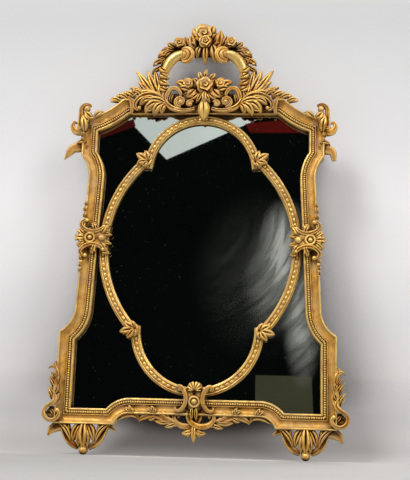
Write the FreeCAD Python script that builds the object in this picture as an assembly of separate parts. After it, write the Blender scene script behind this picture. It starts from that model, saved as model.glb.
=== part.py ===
"""Carved and gilded wall mirror: a waisted outer frame, an oval inner moulding with four clasps,
an oval plate and four border plates, a pierced floral crest, cartouches, corner scrolls and leaf feet.

It is drawn in millimetres about the middle of the oval: X to the right, Z up, and a forward depth
measured from the wall. The finished pieces are moved so that the origin lies on the wall, midway
between the two hanger pins.
"""

import FreeCAD, Part

import math
import os

from FreeCAD import Vector

# Sight line of the outer frame, the edge of its opening, for the right half
SIGHT_TOP = 368.0          # straight top edge, above the oval's middle
SHOULDER_FALL = 52.0       # from that edge down to the opening's upper corner
SHOULDER_OUT = 24.5        # from the waist out to that corner
SHOULDER_RUN = 88.0        # from that corner in to the end of the straight top edge
SHOULDER_SAG = 5.0         # how far the top edge dips between its kink and the corner
WAIST_TOP_HEIGHT = 172.0   # upper end of the long straight of the stile
WAIST_TOP_HALF = 275.5
WAIST_TOP_RADIUS = 135.0
WAIST_LOW_DROP = 195.0     # lower end of that straight, below the oval's middle
WAIST_SPREAD = 16.0        # how far the straight leans out to that end
WAIST_LOW_RADIUS = 120.0
FOOT_DROP = 462.0          # lower corner of the opening
FOOT_OUT = 40.5            # from the waist's lower end out to that corner
FOOT_FLAT = 95.0           # level edge in from that corner
ARCH_RUN = 65.0            # curve from there up to the raised middle
ARCH_RISE = 30.0

SHOULDER_HEIGHT = SIGHT_TOP - SHOULDER_FALL
SHOULDER_HALF = WAIST_TOP_HALF + SHOULDER_OUT
SIGHT_TOP_HALF = SHOULDER_HALF - SHOULDER_RUN
WAIST_LOW_HALF = WAIST_TOP_HALF + WAIST_SPREAD
FOOT_HALF = WAIST_LOW_HALF + FOOT_OUT
ARCH_FOOT_HALF = FOOT_HALF - FOOT_FLAT
ARCH_HALF = ARCH_FOOT_HALF - ARCH_RUN
ARCH_DROP = FOOT_DROP - ARCH_RISE

# Section of the outer frame, across its width and forward of its back
RAIL_WIDTH = 42.0
REBATE_WIDTH = 9.0
SIGHT_DEPTH = 28.0
BEAD_FLAT_START = 6.5
BEAD_FLAT_WIDTH = 8.5
BEAD_FLAT_DEPTH = 32.0
COVE_DIP = 5.0
LIP_WIDTH = 4.5
LIP_DEPTH = 40.0
BEAD_RADIUS = 3.6

# Oval moulding, measured to the middle of its width
OVAL_TOP_GAP = 15.0        # from the frame's top edge down to the oval
OVAL_TOP_RADIUS = 154.0
OVAL_LOW_GAP = 18.0        # from the raised bottom edge up to the oval
OVAL_LOW_RADIUS = 168.0
OVAL_SIDE_GAP = 7.0        # from the waist's upper end in to the oval's widest place
OVAL_SIDE_LEVEL = -17.5
OVAL_SIDE_SLACK = 80.0     # a side arc is struck this much tighter than one that runs in smoothly
OVAL_WIDTH = 26.0
OVAL_CROWN_WIDTH = 13.0
OVAL_EDGE_DEPTH = 8.0
OVAL_CROWN_DEPTH = 16.0
OVAL_TONGUE = 6.0

# Plates, board and the back
PAD_HEIGHT = 8.0
PAD_RADIUS = 8.0
PAD_EDGE = 20.0            # from the sight line to a pad's middle
PAD_UPPER_FALL = 32.0      # below the opening's upper corner
PAD_LOWER_RISE = 32.0      # above its lower corner
BOARD_THICKNESS = 6.0
GLASS_THICKNESS = 4.0
EDGE_CLEARANCE = 1.0
PLATE_GAP = 1.0
RUNNING_CLEARANCE = 0.1
LIFT_CLEARANCE = 0.3

DOWEL_RADIUS = 4.0
DOWEL_LENGTH = 34.0
DOWEL_DEPTH = 18.0
DOWEL_SPOTS = (0.36, 0.66)  # shares of the way along each corner joint

OVAL_SCREW_RADIUS = 1.8
OVAL_SCREW_HEAD = 3.6
OVAL_SCREW_LENGTH = 20.0
OVAL_SCREW_SHARES = (0.14, 0.5, 0.86)  # of the way along each arc of the oval

BUTTON_LENGTH = 38.0
BUTTON_WIDTH = 12.0
BUTTON_THICKNESS = 1.6
BUTTON_TAIL = 7.0          # from the pivot to the near end
BUTTON_EDGE = 18.0         # from the sight line to the pivot
BUTTON_UPPER_HEIGHT = 50.0
BUTTON_LOWER_DROP = 150.0
BUTTON_SCREW_RADIUS = 1.9
BUTTON_SCREW_LENGTH = 14.0
BUTTON_HEAD_RADIUS = 4.0
BUTTON_HEAD_HEIGHT = 2.0

HANGER_HEIGHT = 150.0      # hanger pins, above the oval's middle
HANGER_EDGE = 25.0
STRAP_WIDTH = 14.0
STRAP_LENGTH = 52.0
STRAP_THICKNESS = 1.5
STRAP_HOLES = (20.0, 40.0)  # below the pin
RING_WIRE = 1.75
RING_HALF = 13.0
RING_CORNER = 3.5
HANGER_SCREW_RADIUS = 2.0
HANGER_SCREW_HEAD = 3.8
HANGER_SCREW_LENGTH = 18.0

# Carving: depths forward of the frame's back
CARVE_BACK = 18.0
CARVE_BODY = 14.0
SCROLL_DEPTH = 38.0

# Crest, measured from the top edge of the frame on the middle line
ARCH_START = (105.0, -10.0)
ARCH_HEADING = 76.0
ARCH_TURNS = ((300.0, 16.0), (64.0, 100.0))
ARCH_TUBE = 11.5
ARCH_DEPTH = 25.0
ARCH_EYE = 17.0
VOLUTE_START = (23.5, -22.6)
VOLUTE_HEADING = -65.0
VOLUTE_TURNS = ((37.0, 235.0), (19.0, 150.0))
VOLUTE_TUBE = 7.0
VOLUTE_EYE = 9.0
ACANTHUS_START = (108.0, -12.0)
ACANTHUS_HEADING = 35.0
ACANTHUS_TURNS = ((95.0, -40.0), (20.0, -190.0))
ACANTHUS_TUBE = 9.0
ACANTHUS_DROP = ((110.0, -14.0), (151.0, -60.0), 30.0, 5.0)
FAN_BLADES = (
    ((120.0, -4.0), (200.0, 90.0), 17.0, 3.0),
    ((118.0, -4.0), (172.0, 88.0), 15.0, 2.0),
    ((116.0, 0.0), (147.0, 105.0), 14.0, -3.0),
    ((128.0, -6.0), (218.0, 44.0), 20.0, 7.0),
    ((160.0, -8.0), (252.0, 10.0), 16.0, 6.0),
)
TOP_BACKING = ((-100.0, 156.0), (100.0, 156.0), 60.0, 0.0)
TOP_ROSES = (
    ((1.0, 172.0), 25.0),
    ((0.0, 205.0), 23.0),
    ((76.0, 170.0), 18.0),
    ((-76.0, 170.0), 18.0),
)
TOP_LEAVES = (
    ((-4.0, 190.0), (-12.0, 233.0), 26.0, 0.0),
    ((6.0, 190.0), (24.0, 226.0), 24.0, 0.0),
    ((20.0, 172.0), (54.0, 206.0), 30.0, 0.0),
    ((-20.0, 172.0), (-54.0, 204.0), 30.0, 0.0),
    ((72.0, 158.0), (124.0, 138.0), 28.0, 6.0),
    ((-72.0, 158.0), (-124.0, 138.0), 28.0, -6.0),
    ((96.0, 150.0), (148.0, 104.0), 24.0, 5.0),
    ((-96.0, 150.0), (-148.0, 104.0), 24.0, -5.0),
    ((0.0, 160.0), (0.0, 105.0), 24.0, 0.0),
    ((12.0, 160.0), (28.0, 108.0), 20.0, 0.0),
)
LOW_BACKING = ((-66.0, 20.0), (66.0, 20.0), 66.0, 0.0)
LOW_ROSES = (
    ((2.0, 40.0), 24.0),
    ((46.0, 44.0), 15.0),
    ((-46.0, 44.0), 15.0),
    ((30.0, 8.0), 12.0),
    ((-30.0, 8.0), 12.0),
)
LOW_LEAVES = (
    ((2.0, 48.0), (2.0, 88.0), 15.0, 0.0),
    ((6.0, 48.0), (24.0, 76.0), 13.0, 0.0),
    ((-4.0, 48.0), (-20.0, 76.0), 13.0, 0.0),
)
HUSK = ((2.0, -2.0), (3.0, -64.0), 33.0, 0.0)
HUSK_DEPTH = (30.0, 48.0)

# Ears, measured from the outer upper corner of the frame
EAR_SCROLL_START = (8.0, -22.0)
EAR_SCROLL_RISE = 48.0
EAR_SCROLL_TURNS = ((14.0, 190.0),)
EAR_SCROLL_TUBE = 5.5
EAR_BALL = 9.5
EAR_LEAF = ((-3.0, -28.0), (0.0, 34.0), 36.0, 0.0)
CURL_START = (-6.0, -54.0)
CURL_HEADING = 8.0
CURL_TURNS = ((200.0, -6.0), (12.0, 250.0))
CURL_TUBE = 4.5
HORN_LOWER = ((-12.0, -92.0), (49.0, -126.0), 24.0, 7.0)
HORN_RIGHT_LOSS = 22.0     # the right-hand lower horn ends in an old break

# Side cartouche, measured from the stile's sight line at the oval's middle
SIDE_LEVEL = 1.0
SIDE_BACKING = ((-22.0, 0.0), (56.0, 0.0), 58.0, 0.0)
SIDE_SCROLL_START = (-18.0, 32.0)
SIDE_SCROLL_HEADING = -50.0
SIDE_SCROLL_TURNS = ((40.0, 100.0), (11.0, 150.0))
SIDE_SCROLL_TUBE = 5.5
SIDE_ROSE = ((20.0, 0.0), 15.5)
SIDE_PEARL = ((-12.0, 0.0), 9.0)
SIDE_TIP = ((34.0, 0.0), (60.0, 1.0), 24.0, 0.0)
# Pearls on the stile's outer edge, height and radius, beside the waist and from the upper corner
STILE_PEARLS = ((102.0, 5.5), (88.0, 7.5), (70.0, 7.0), (-66.0, 8.0), (-84.0, 6.5), (-97.0, 5.0))
SHOULDER_PEARLS = ((6.0, 5.5), (-10.0, 7.0), (-26.0, 6.0))

# Lower cartouche, measured from the middle of the raised bottom edge
LOW_PLATE = ((0.0, 48.0), (0.0, -42.0), 62.0, 0.0)
LOW_SHELL = ((0.0, 14.0), (0.0, 52.0), 46.0, 0.0)
LOW_ROSETTE = ((0.0, -5.0), 17.0)
LOW_C_START = (48.0, 31.0)
LOW_C_HEADING = 190.0
LOW_C_TURNS = ((30.0, 160.0),)
LOW_C_TUBE = 6.0
LOW_C_EYE = 7.5
RING_SCROLL_START = (10.0, -50.0)
RING_SCROLL_TURNS = ((22.0, 235.0),)
RING_SCROLL_TUBE = 6.0
PENDANT_BLADES = (
    ((0.0, -38.0), (0.0, -113.0), 28.0, 0.0),
    ((0.0, -72.0), (28.0, -86.0), 14.0, -5.0),
    ((0.0, -72.0), (-28.0, -86.0), 14.0, 5.0),
)
APRON_START = -36.0        # the waves start behind the rail's lower edge
APRON_FIRST = 80.0         # middle of the first wave
APRON_PITCH = 33.0
APRON_RADIUS = 15.0
APRON_TUBE = 5.0

# Lower corners, measured from the outer lower corner of the frame
CORNER_START = (11.5, 45.0)
CORNER_HEADING = -30.0
CORNER_TURNS = ((21.0, -230.0),)
CORNER_TUBE = 6.0
CORNER_EYE = 8.5
CORNER_BLADES = (
    ((-3.0, 42.0), (0.0, 160.0), 24.0, -4.0),
    ((0.0, 104.0), (29.0, 147.0), 15.0, -5.0),
    ((2.0, 80.0), (28.0, 118.0), 15.0, -5.0),
    ((4.0, 56.0), (26.0, 90.0), 15.0, -5.0),
)

# Feet, measured from the frame's lower edge on the foot's own middle line
FOOT_INSET = 39.0          # from the opening's lower corner in to that line
FOOT_OUTER_ARM = ((72.0, 6.0), -125.0, ((160.0, -20.0), (60.0, 30.0)))
FOOT_INNER_ARM = ((-72.0, 6.0), -55.0, ((160.0, 20.0), (60.0, -30.0)))
FOOT_ARM_TUBE = 7.0
FOOT_LEAF = ((0.0, 6.0), (0.0, -62.0), 40.0, 0.0)
FOOT_HORN = ((60.0, 2.0), (97.0, -31.0), 22.0, 6.0)
FOOT_HUB = ((0.0, -54.0), 13.0)
FOOT_DEPTH = 22.0
BALL_RADIUS = 12.5
BALL_DROP = 67.0

# A flower's stepped section, as shares of its radius across and forward
ROSE_RINGS = (
    (0.0, 0.0), (1.0, 0.0), (1.0, 0.3), (0.84, 0.52), (0.72, 0.44),
    (0.6, 0.68), (0.45, 0.6), (0.3, 0.8), (0.0, 0.76),
)

# Clasps on the oval: length and width of the leaf, and how far it reaches out
CLASP_LENGTH = 60.0
CLASP_WIDTH = 38.0
CLASP_REACH = 8.0
CLASP_RISE = 6.0

# Drawing aids
MITRE_REACH = 160.0
RUN_ON = 58.0              # how far a run is drawn past a mitre before it is cut
RUN_ON_TURN = 60.0
SINK = 0.02                # how far a flower is let into the plate behind it
CHIP_SHARE = 0.06          # what is smaller than this share of a seated carving is waste

LIP_FRONT = PAD_HEIGHT + LIP_DEPTH
BOARD_FRONT = PAD_HEIGHT + BOARD_THICKNESS
GLASS_FRONT = BOARD_FRONT + GLASS_THICKNESS
PLATE_INSET = REBATE_WIDTH - EDGE_CLEARANCE


def at(x, z, forward):
    """A point from its place on the wall and its depth forward of the wall."""
    return Vector(x, -forward, z)


def mirrored(shape):
    """The left-hand copy of a right-hand shape."""
    return shape.mirror(Vector(0, 0, 0), Vector(1, 0, 0))


def fused(shapes):
    """One shape from several that overlap or share faces."""
    shapes = list(shapes)
    whole = shapes[0] if len(shapes) == 1 else shapes[0].multiFuse(shapes[1:])
    return whole.removeSplitter()


def turned(angle):
    """The unit vector at an angle in degrees from +X towards +Z."""
    return math.cos(math.radians(angle)), math.sin(math.radians(angle))


class Run:
    """A straight stretch of the sight line. The outside of the frame is on its left."""

    def __init__(self, start, end):
        self.start, self.end = start, end
        length = math.hypot(end[0] - start[0], end[1] - start[1])
        self.way = ((end[0] - start[0]) / length, (end[1] - start[1]) / length)
        self.out = (-self.way[1], self.way[0])
        self.length = length

    def heading(self, _end):
        return math.degrees(math.atan2(self.way[1], self.way[0]))

    def point(self, along, offset):
        return (
            self.start[0] + self.way[0] * along + self.out[0] * offset,
            self.start[1] + self.way[1] * along + self.out[1] * offset,
        )

    def beyond(self, extra, offset):
        return self.point(self.length + extra, offset)

    def side(self, point, offset):
        dx, dz = point[0] - self.start[0], point[1] - self.start[1]
        return dx * self.out[0] + dz * self.out[1] - offset

    def edge(self, first, last, _offset, forward):
        return Part.LineSegment(at(*first, forward), at(*last, forward)).toShape()

    def solid(self, section, before, after):
        """The section swept along the run, drawn on past its ends where it is mitred."""
        face = section(lambda s, f: at(*self.point(-before, s), f))
        reach = self.length + before + after
        return face.extrude(Vector(self.way[0] * reach, 0, self.way[1] * reach))


class Bend:
    """A round stretch of the sight line, struck from a centre outside the frame."""

    def __init__(self, centre, radius, first, last):
        self.centre, self.radius = centre, radius
        self.first, self.last = first, last
        self.start = self.point(first, 0.0)
        self.end = self.point(last, 0.0)

    def heading(self, end):
        return (self.last if end else self.first) + 90.0

    def angle(self, point):
        return math.degrees(math.atan2(point[1] - self.centre[1], point[0] - self.centre[0]))

    def point(self, angle, offset):
        c, s = turned(angle)
        reach = self.radius - offset
        return self.centre[0] + reach * c, self.centre[1] + reach * s

    def beyond(self, extra, offset):
        return self.point(self.last + math.degrees(extra / self.radius), offset)

    def side(self, point, offset):
        away = math.hypot(point[0] - self.centre[0], point[1] - self.centre[1])
        return self.radius - offset - away

    def edge(self, first, last, offset, forward):
        low, high = self.angle(first), self.angle(last)
        high += 360.0 if high < low else 0.0
        middle = self.point((low + high) / 2, offset)
        return Part.Arc(at(*first, forward), at(*middle, forward), at(*last, forward)).toShape()

    def solid(self, section, before, after):
        """The section turned about the bend's centre, drawn on where it is mitred."""
        inner = self.radius - RAIL_WIDTH
        extra_first = min(RUN_ON_TURN, math.degrees(before / inner))
        extra_last = min(RUN_ON_TURN, math.degrees(after / inner))
        first = self.first - extra_first
        face = section(lambda s, f: at(*self.point(first, s), f))
        sweep = self.last - self.first + extra_first + extra_last
        return face.revolve(at(*self.centre, 0), Vector(0, -1, 0), sweep)


def tangent(before, after):
    """True where two stretches meet without a kink."""
    turn = (after.heading(False) - before.heading(True) + 180.0) % 360.0 - 180.0
    return abs(turn) < 0.5


def corner(before, after, offset):
    """Where two stretches meet when both are moved outwards by an offset."""
    if tangent(before, after):
        return before.beyond(0.0, offset)
    low, high = -RUN_ON, RUN_ON
    low_side = after.side(before.beyond(low, offset), offset)
    for _ in range(60):
        middle = (low + high) / 2
        if (after.side(before.beyond(middle, offset), offset) > 0) == (low_side > 0):
            low = middle
        else:
            high = middle
    return before.beyond((low + high) / 2, offset)


def sight_line():
    """The right half of the opening's edge, from the top middle clockwise to the bottom middle."""
    kink = (SIGHT_TOP_HALF, SIGHT_TOP)
    shoulder = (SHOULDER_HALF, SHOULDER_HEIGHT)
    span = math.hypot(shoulder[0] - kink[0], shoulder[1] - kink[1])
    radius = (span * span / 4 + SHOULDER_SAG * SHOULDER_SAG) / (2 * SHOULDER_SAG)
    chord = Run(kink, shoulder)
    top_centre = chord.point(span / 2, radius - SHOULDER_SAG)
    first, last = (
        math.degrees(math.atan2(p[1] - top_centre[1], p[0] - top_centre[0])) for p in (kink, shoulder)
    )
    top_bend = Bend(top_centre, radius, first, last)

    straight = Run((WAIST_TOP_HALF, WAIST_TOP_HEIGHT), (WAIST_LOW_HALF, -WAIST_LOW_DROP))
    facing = math.degrees(math.atan2(-straight.out[1], -straight.out[0])) % 360.0
    upper_centre = straight.point(0.0, WAIST_TOP_RADIUS)
    upper_first = 180.0 - math.degrees(math.acos((upper_centre[0] - SHOULDER_HALF) / WAIST_TOP_RADIUS))
    upper_bend = Bend(upper_centre, WAIST_TOP_RADIUS, upper_first, facing)
    lower_centre = straight.point(straight.length, WAIST_LOW_RADIUS)
    lower_last = 180.0 + math.degrees(math.acos((lower_centre[0] - FOOT_HALF) / WAIST_LOW_RADIUS))
    lower_bend = Bend(lower_centre, WAIST_LOW_RADIUS, facing, lower_last)

    rise = FOOT_DROP - ARCH_DROP
    run = ARCH_FOOT_HALF - ARCH_HALF
    arch_radius = (run * run + rise * rise) / (2 * rise)
    arch_first = 90.0 - math.degrees(math.asin(run / arch_radius))
    arch_bend = Bend((ARCH_HALF, -ARCH_DROP - arch_radius), arch_radius, arch_first, 90.0)
    foot = (FOOT_HALF, -FOOT_DROP)
    return [
        Run((0.0, SIGHT_TOP), kink),
        top_bend,
        Run(shoulder, upper_bend.start),
        upper_bend,
        straight,
        lower_bend,
        Run(lower_bend.end, foot),
        Run(foot, (ARCH_FOOT_HALF, -FOOT_DROP)),
        arch_bend,
        Run((ARCH_HALF, -ARCH_DROP), (0.0, -ARCH_DROP)),
    ]


SIGHT = sight_line()
TOP_PART, STILE_PART, BOTTOM_PART = SIGHT[:2], SIGHT[2:7], SIGHT[7:]
STRAIGHT = SIGHT[4]
UPPER_CORNER = corner(SIGHT[1], SIGHT[2], RAIL_WIDTH)
LOWER_CORNER = corner(SIGHT[6], SIGHT[7], RAIL_WIDTH)
TOP_EDGE = SIGHT_TOP + RAIL_WIDTH
LOWER_EDGE = -FOOT_DROP - RAIL_WIDTH


def stile_sight(z):
    """How far from the middle the stile's sight line lies, on its long straight."""
    share = (WAIST_TOP_HEIGHT - z) / (WAIST_TOP_HEIGHT + WAIST_LOW_DROP)
    return WAIST_TOP_HALF + share * (WAIST_LOW_HALF - WAIST_TOP_HALF)


def half_plane(through, other, towards):
    """A block that covers one side of the upright plane through two points, the side a way points to."""
    line = Run(through, other)
    sign = 1.0 if line.out[0] * towards[0] + line.out[1] * towards[1] > 0 else -1.0
    ends = (line.point(-MITRE_REACH, 0.0), line.point(MITRE_REACH, 0.0))
    far = [line.point(a, sign * MITRE_REACH) for a in (MITRE_REACH, -MITRE_REACH)]
    outline = [at(*p, -MITRE_REACH) for p in (*ends, *far, ends[0])]
    return Part.Face(Part.makePolygon(outline)).extrude(Vector(0, -3 * MITRE_REACH, 0))


def swept(stretches, section):
    """A section carried along stretches of the sight line, mitred where they kink."""
    pieces = []
    for stretch in stretches:
        place = SIGHT.index(stretch)
        before = SIGHT[place - 1] if place else None
        after = SIGHT[place + 1] if place + 1 < len(SIGHT) else None
        cut_first = before is not None and not tangent(before, stretch)
        cut_last = after is not None and not tangent(stretch, after)
        solid = stretch.solid(section, RUN_ON if cut_first else 0.0, RUN_ON if cut_last else 0.0)
        if cut_first:
            way = turned(stretch.heading(False) + 180.0)
            solid = solid.cut(half_plane(stretch.start, corner(before, stretch, RAIL_WIDTH), way))
        if cut_last:
            way = turned(stretch.heading(True))
            solid = solid.cut(half_plane(stretch.end, corner(stretch, after, RAIL_WIDTH), way))
        pieces.append(solid)
    return fused(pieces)


def rail_section(place):
    """The frame's section: rebate, sight edge, flat for the beads, cove and outer lip."""
    back = PAD_HEIGHT
    flat_end = BEAD_FLAT_START + BEAD_FLAT_WIDTH
    cove_end = RAIL_WIDTH - LIP_WIDTH
    cove_low = min(BEAD_FLAT_DEPTH, LIP_DEPTH) - COVE_DIP
    corners = [
        (cove_end, back + LIP_DEPTH),
        (RAIL_WIDTH, back + LIP_DEPTH),
        (RAIL_WIDTH, back),
        (REBATE_WIDTH, back),
        (REBATE_WIDTH, GLASS_FRONT),
        (0.0, GLASS_FRONT),
        (0.0, back + SIGHT_DEPTH),
        (BEAD_FLAT_START, back + BEAD_FLAT_DEPTH),
        (flat_end, back + BEAD_FLAT_DEPTH),
    ]
    points = [place(*c) for c in corners]
    hollow = place((flat_end + cove_end) / 2, back + cove_low)
    edges = [Part.LineSegment(a, b).toShape() for a, b in zip(points, points[1:])]
    edges.append(Part.Arc(points[-1], hollow, points[0]).toShape())
    return Part.Face(Part.Wire(edges))


def bead_section(place):
    """The half-round of the bead course, seated on its flat."""
    middle = BEAD_FLAT_START + BEAD_FLAT_WIDTH / 2
    seat = PAD_HEIGHT + BEAD_FLAT_DEPTH
    ends = place(middle - BEAD_RADIUS, seat), place(middle + BEAD_RADIUS, seat)
    arc = Part.Arc(ends[0], place(middle, seat + BEAD_RADIUS), ends[1]).toShape()
    return Part.Face(Part.Wire([arc, Part.LineSegment(ends[1], ends[0]).toShape()]))


def whole_outline(offset, forward):
    """The frame's sight line as a closed wire, moved outwards by an offset."""
    joints = [SIGHT[0].point(0.0, offset)]
    joints += [corner(a, b, offset) for a, b in zip(SIGHT, SIGHT[1:])]
    joints.append(SIGHT[-1].beyond(0.0, offset))
    half = [s.edge(joints[i], joints[i + 1], offset, forward) for i, s in enumerate(SIGHT)]
    return Part.Wire(Part.__sortEdges__(half + [mirrored(e) for e in half]))


def frame_rails():
    """The four members of the outer frame and the bead course on each of them."""
    rails, beads = {}, []
    for section in (rail_section, bead_section):
        top, stile, bottom = (swept(part, section) for part in (TOP_PART, STILE_PART, BOTTOM_PART))
        members = {
            "top_rail": fused([top, mirrored(top)]),
            "right_stile": stile,
            "left_stile": mirrored(stile),
            "bottom_rail": fused([bottom, mirrored(bottom)]),
        }
        if section is rail_section:
            rails = members
        else:
            beads = list(members.values())
    return rails, beads


def corner_dowels():
    """Two dowels across each corner joint, square to it."""
    dowels = []
    joints = (
        Run((SHOULDER_HALF, SHOULDER_HEIGHT), UPPER_CORNER),
        Run((FOOT_HALF, -FOOT_DROP), LOWER_CORNER),
    )
    for joint in joints:
        for spot in DOWEL_SPOTS:
            x, z = joint.point(joint.length * spot, -DOWEL_LENGTH / 2)
            way = Vector(joint.out[0], 0, joint.out[1])
            end = at(x, z, PAD_HEIGHT + DOWEL_DEPTH)
            dowels.append(Part.makeCylinder(DOWEL_RADIUS, DOWEL_LENGTH, end, way))
    return dowels + [mirrored(d) for d in dowels]


OVAL_SIDE_HALF = WAIST_TOP_HALF - OVAL_SIDE_GAP
OVAL_TOP_CENTRE = SIGHT_TOP - OVAL_TOP_GAP - OVAL_TOP_RADIUS
OVAL_LOW_CENTRE = OVAL_LOW_RADIUS + OVAL_LOW_GAP - ARCH_DROP


def fair_radius(centre, radius):
    """Radius of a side arc that would run smoothly into the top or bottom arc."""
    rise = centre - OVAL_SIDE_LEVEL
    return (OVAL_SIDE_HALF**2 + rise**2 - radius**2) / (2 * (OVAL_SIDE_HALF - radius))


OVAL_FAIR_RADIUS = min(
    fair_radius(OVAL_TOP_CENTRE, OVAL_TOP_RADIUS),
    fair_radius(OVAL_LOW_CENTRE, OVAL_LOW_RADIUS),
)
OVAL_SIDE_RADIUS = OVAL_FAIR_RADIUS - OVAL_SIDE_SLACK
OVAL_ARCS = {
    "oval_top_arc": ((0.0, OVAL_TOP_CENTRE), OVAL_TOP_RADIUS),
    "oval_right_arc": ((OVAL_SIDE_HALF - OVAL_SIDE_RADIUS, OVAL_SIDE_LEVEL), OVAL_SIDE_RADIUS),
    "oval_bottom_arc": ((0.0, OVAL_LOW_CENTRE), OVAL_LOW_RADIUS),
}


def oval_meet(end, offset):
    """Where the right side arc meets the top arc (end 1) or the bottom arc (end -1)."""
    (ax, az), ar = OVAL_ARCS["oval_right_arc"]
    (bx, bz), br = OVAL_ARCS["oval_top_arc" if end > 0 else "oval_bottom_arc"]
    ar, br = ar + offset, br + offset
    dx, dz = bx - ax, bz - az
    apart = math.hypot(dx, dz)
    along = (ar * ar - br * br + apart * apart) / (2 * apart)
    across = math.sqrt(ar * ar - along * along)
    foot = (ax + dx * along / apart, az + dz * along / apart)
    step = (-dz * across / apart, dx * across / apart)
    return max((foot[0] + s * step[0], foot[1] + s * step[1]) for s in (1, -1))


def oval_angle(name, point):
    """The angle at which an arc of the oval passes a point."""
    centre = OVAL_ARCS[name][0]
    return math.degrees(math.atan2(point[1] - centre[1], point[0] - centre[0]))


def oval_outline(offset, forward):
    """The oval as a closed wire of four arcs, grown by an offset."""
    high, low = oval_meet(1, offset), oval_meet(-1, offset)
    edges = []
    for name, first, last in (
        ("oval_right_arc", low, high),
        ("oval_top_arc", high, (-high[0], high[1])),
        ("oval_bottom_arc", (-low[0], low[1]), low),
    ):
        (cx, cz), radius = OVAL_ARCS[name]
        begin, finish = oval_angle(name, first), oval_angle(name, last)
        c, s = turned((begin + finish + (360.0 if finish < begin else 0.0)) / 2)
        reach = radius + offset
        middle = (cx + reach * c, cz + reach * s)
        edges.append(Part.Arc(*(at(*p, forward) for p in (first, middle, last))).toShape())
    edges.append(mirrored(edges[0]))
    return Part.Wire(Part.__sortEdges__(edges))


def oval_moulding():
    """The four arcs of the oval, each with a crown, two rebates and a tongue between the plates."""
    half, crown, tongue = OVAL_WIDTH / 2, OVAL_CROWN_WIDTH / 2, OVAL_TONGUE / 2
    edge, top = GLASS_FRONT + OVAL_EDGE_DEPTH, GLASS_FRONT + OVAL_CROWN_DEPTH
    section = [(tongue, BOARD_FRONT), (tongue, GLASS_FRONT), (half, GLASS_FRONT)]
    section += [(half, edge), (crown, top)]
    section += [(-s, f) for s, f in reversed(section)]
    joints = {end: (oval_meet(end, -half), oval_meet(end, half)) for end in (1, -1)}
    arcs = {}
    for name, ((cx, cz), radius) in OVAL_ARCS.items():
        high, low = oval_angle(name, oval_meet(1, 0.0)), oval_angle(name, oval_meet(-1, 0.0))
        first, last = {
            "oval_top_arc": (high, 180.0 - high),
            "oval_right_arc": (low, high),
            "oval_bottom_arc": (180.0 - low - 360.0, low),
        }[name]
        run_on = math.degrees(OVAL_WIDTH / radius)
        c, s = turned(first - run_on)
        points = [at(cx + (radius + o) * c, cz + (radius + o) * s, f) for o, f in section]
        face = Part.Face(Part.makePolygon(points + points[:1]))
        arcs[name] = face.revolve(at(cx, cz, 0), Vector(0, -1, 0), last - first + 2 * run_on)
    for end, (inner, outer) in joints.items():
        outward = (0.0, 1.0) if end > 0 else (0.0, -1.0)
        beyond_side = half_plane(inner, outer, outward)
        before_side = half_plane(inner, outer, (0.0, -outward[1]))
        arcs["oval_right_arc"] = arcs["oval_right_arc"].cut(beyond_side)
        neighbour = "oval_top_arc" if end > 0 else "oval_bottom_arc"
        arcs[neighbour] = arcs[neighbour].cut(before_side).cut(mirrored(before_side))
    arcs["oval_left_arc"] = mirrored(arcs["oval_right_arc"])
    return arcs


def prism(wire, low, high):
    """A flat wire's area as a slab between two depths."""
    face = Part.Face(wire)
    lift = -low - face.BoundBox.YMin
    return face.translated(Vector(0, lift, 0)).extrude(Vector(0, low - high, 0))


def glass_plates():
    """The oval plate and the four border plates around it."""
    tongue = OVAL_TONGUE / 2 + EDGE_CLEARANCE
    plates = {"oval_glass": prism(oval_outline(-tongue, 0.0), BOARD_FRONT, GLASS_FRONT)}
    border = prism(whole_outline(PLATE_INSET, 0.0), BOARD_FRONT, GLASS_FRONT)
    border = border.cut(prism(oval_outline(tongue, 0.0), 0.0, LIP_FRONT))
    reach = 2 * (FOOT_HALF + FOOT_DROP)
    gaps = [
        Part.makeBox(PLATE_GAP, LIP_FRONT, reach, Vector(-PLATE_GAP / 2, -LIP_FRONT, -reach / 2)),
        Part.makeBox(
            reach, LIP_FRONT, PLATE_GAP, Vector(-reach / 2, -LIP_FRONT, OVAL_SIDE_LEVEL - PLATE_GAP / 2)
        ),
    ]
    for solid in border.cut(gaps).Solids:
        level = "upper" if solid.CenterOfMass.z > OVAL_SIDE_LEVEL else "lower"
        side = "right" if solid.CenterOfMass.x > 0 else "left"
        plates[f"border_glass_{level}_{side}"] = solid
    return plates


def countersunk(x, z, radius, head, length, forward):
    """A countersunk screw driven forwards, its head flush at a depth."""
    taper = head - radius
    shank = Part.makeCylinder(radius, length, at(x, z, forward), Vector(0, -1, 0))
    return shank.fuse(Part.makeCone(head, radius, taper, at(x, z, forward), Vector(0, -1, 0)))


def oval_screws():
    """Screws through the board into the oval's tongue."""
    high, low = oval_meet(1, 0.0), oval_meet(-1, 0.0)
    spans = {
        "oval_top_arc": (high, (-high[0], high[1])),
        "oval_right_arc": (low, high),
        "oval_bottom_arc": ((-low[0], low[1]), low),
    }
    places = []
    for name, (first, last) in spans.items():
        (cx, cz), radius = OVAL_ARCS[name]
        begin, finish = oval_angle(name, first), oval_angle(name, last)
        for share in OVAL_SCREW_SHARES:
            c, s = turned(begin + share * (finish - begin))
            places.append((cx + radius * c, cz + radius * s))
            if name == "oval_right_arc":
                places.append((-cx - radius * c, cz + radius * s))
    size = (OVAL_SCREW_RADIUS, OVAL_SCREW_HEAD, OVAL_SCREW_LENGTH)
    return [countersunk(x, z, *size, PAD_HEIGHT) for x, z in places]


def button_places():
    """Pivots of the four turn buttons, by name."""
    places = {}
    for level, z in (("upper", BUTTON_UPPER_HEIGHT), ("lower", -BUTTON_LOWER_DROP)):
        x = stile_sight(z) + BUTTON_EDGE
        places[f"{level}_right"] = (x, z)
        places[f"{level}_left"] = (-x, z)
    return places


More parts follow.
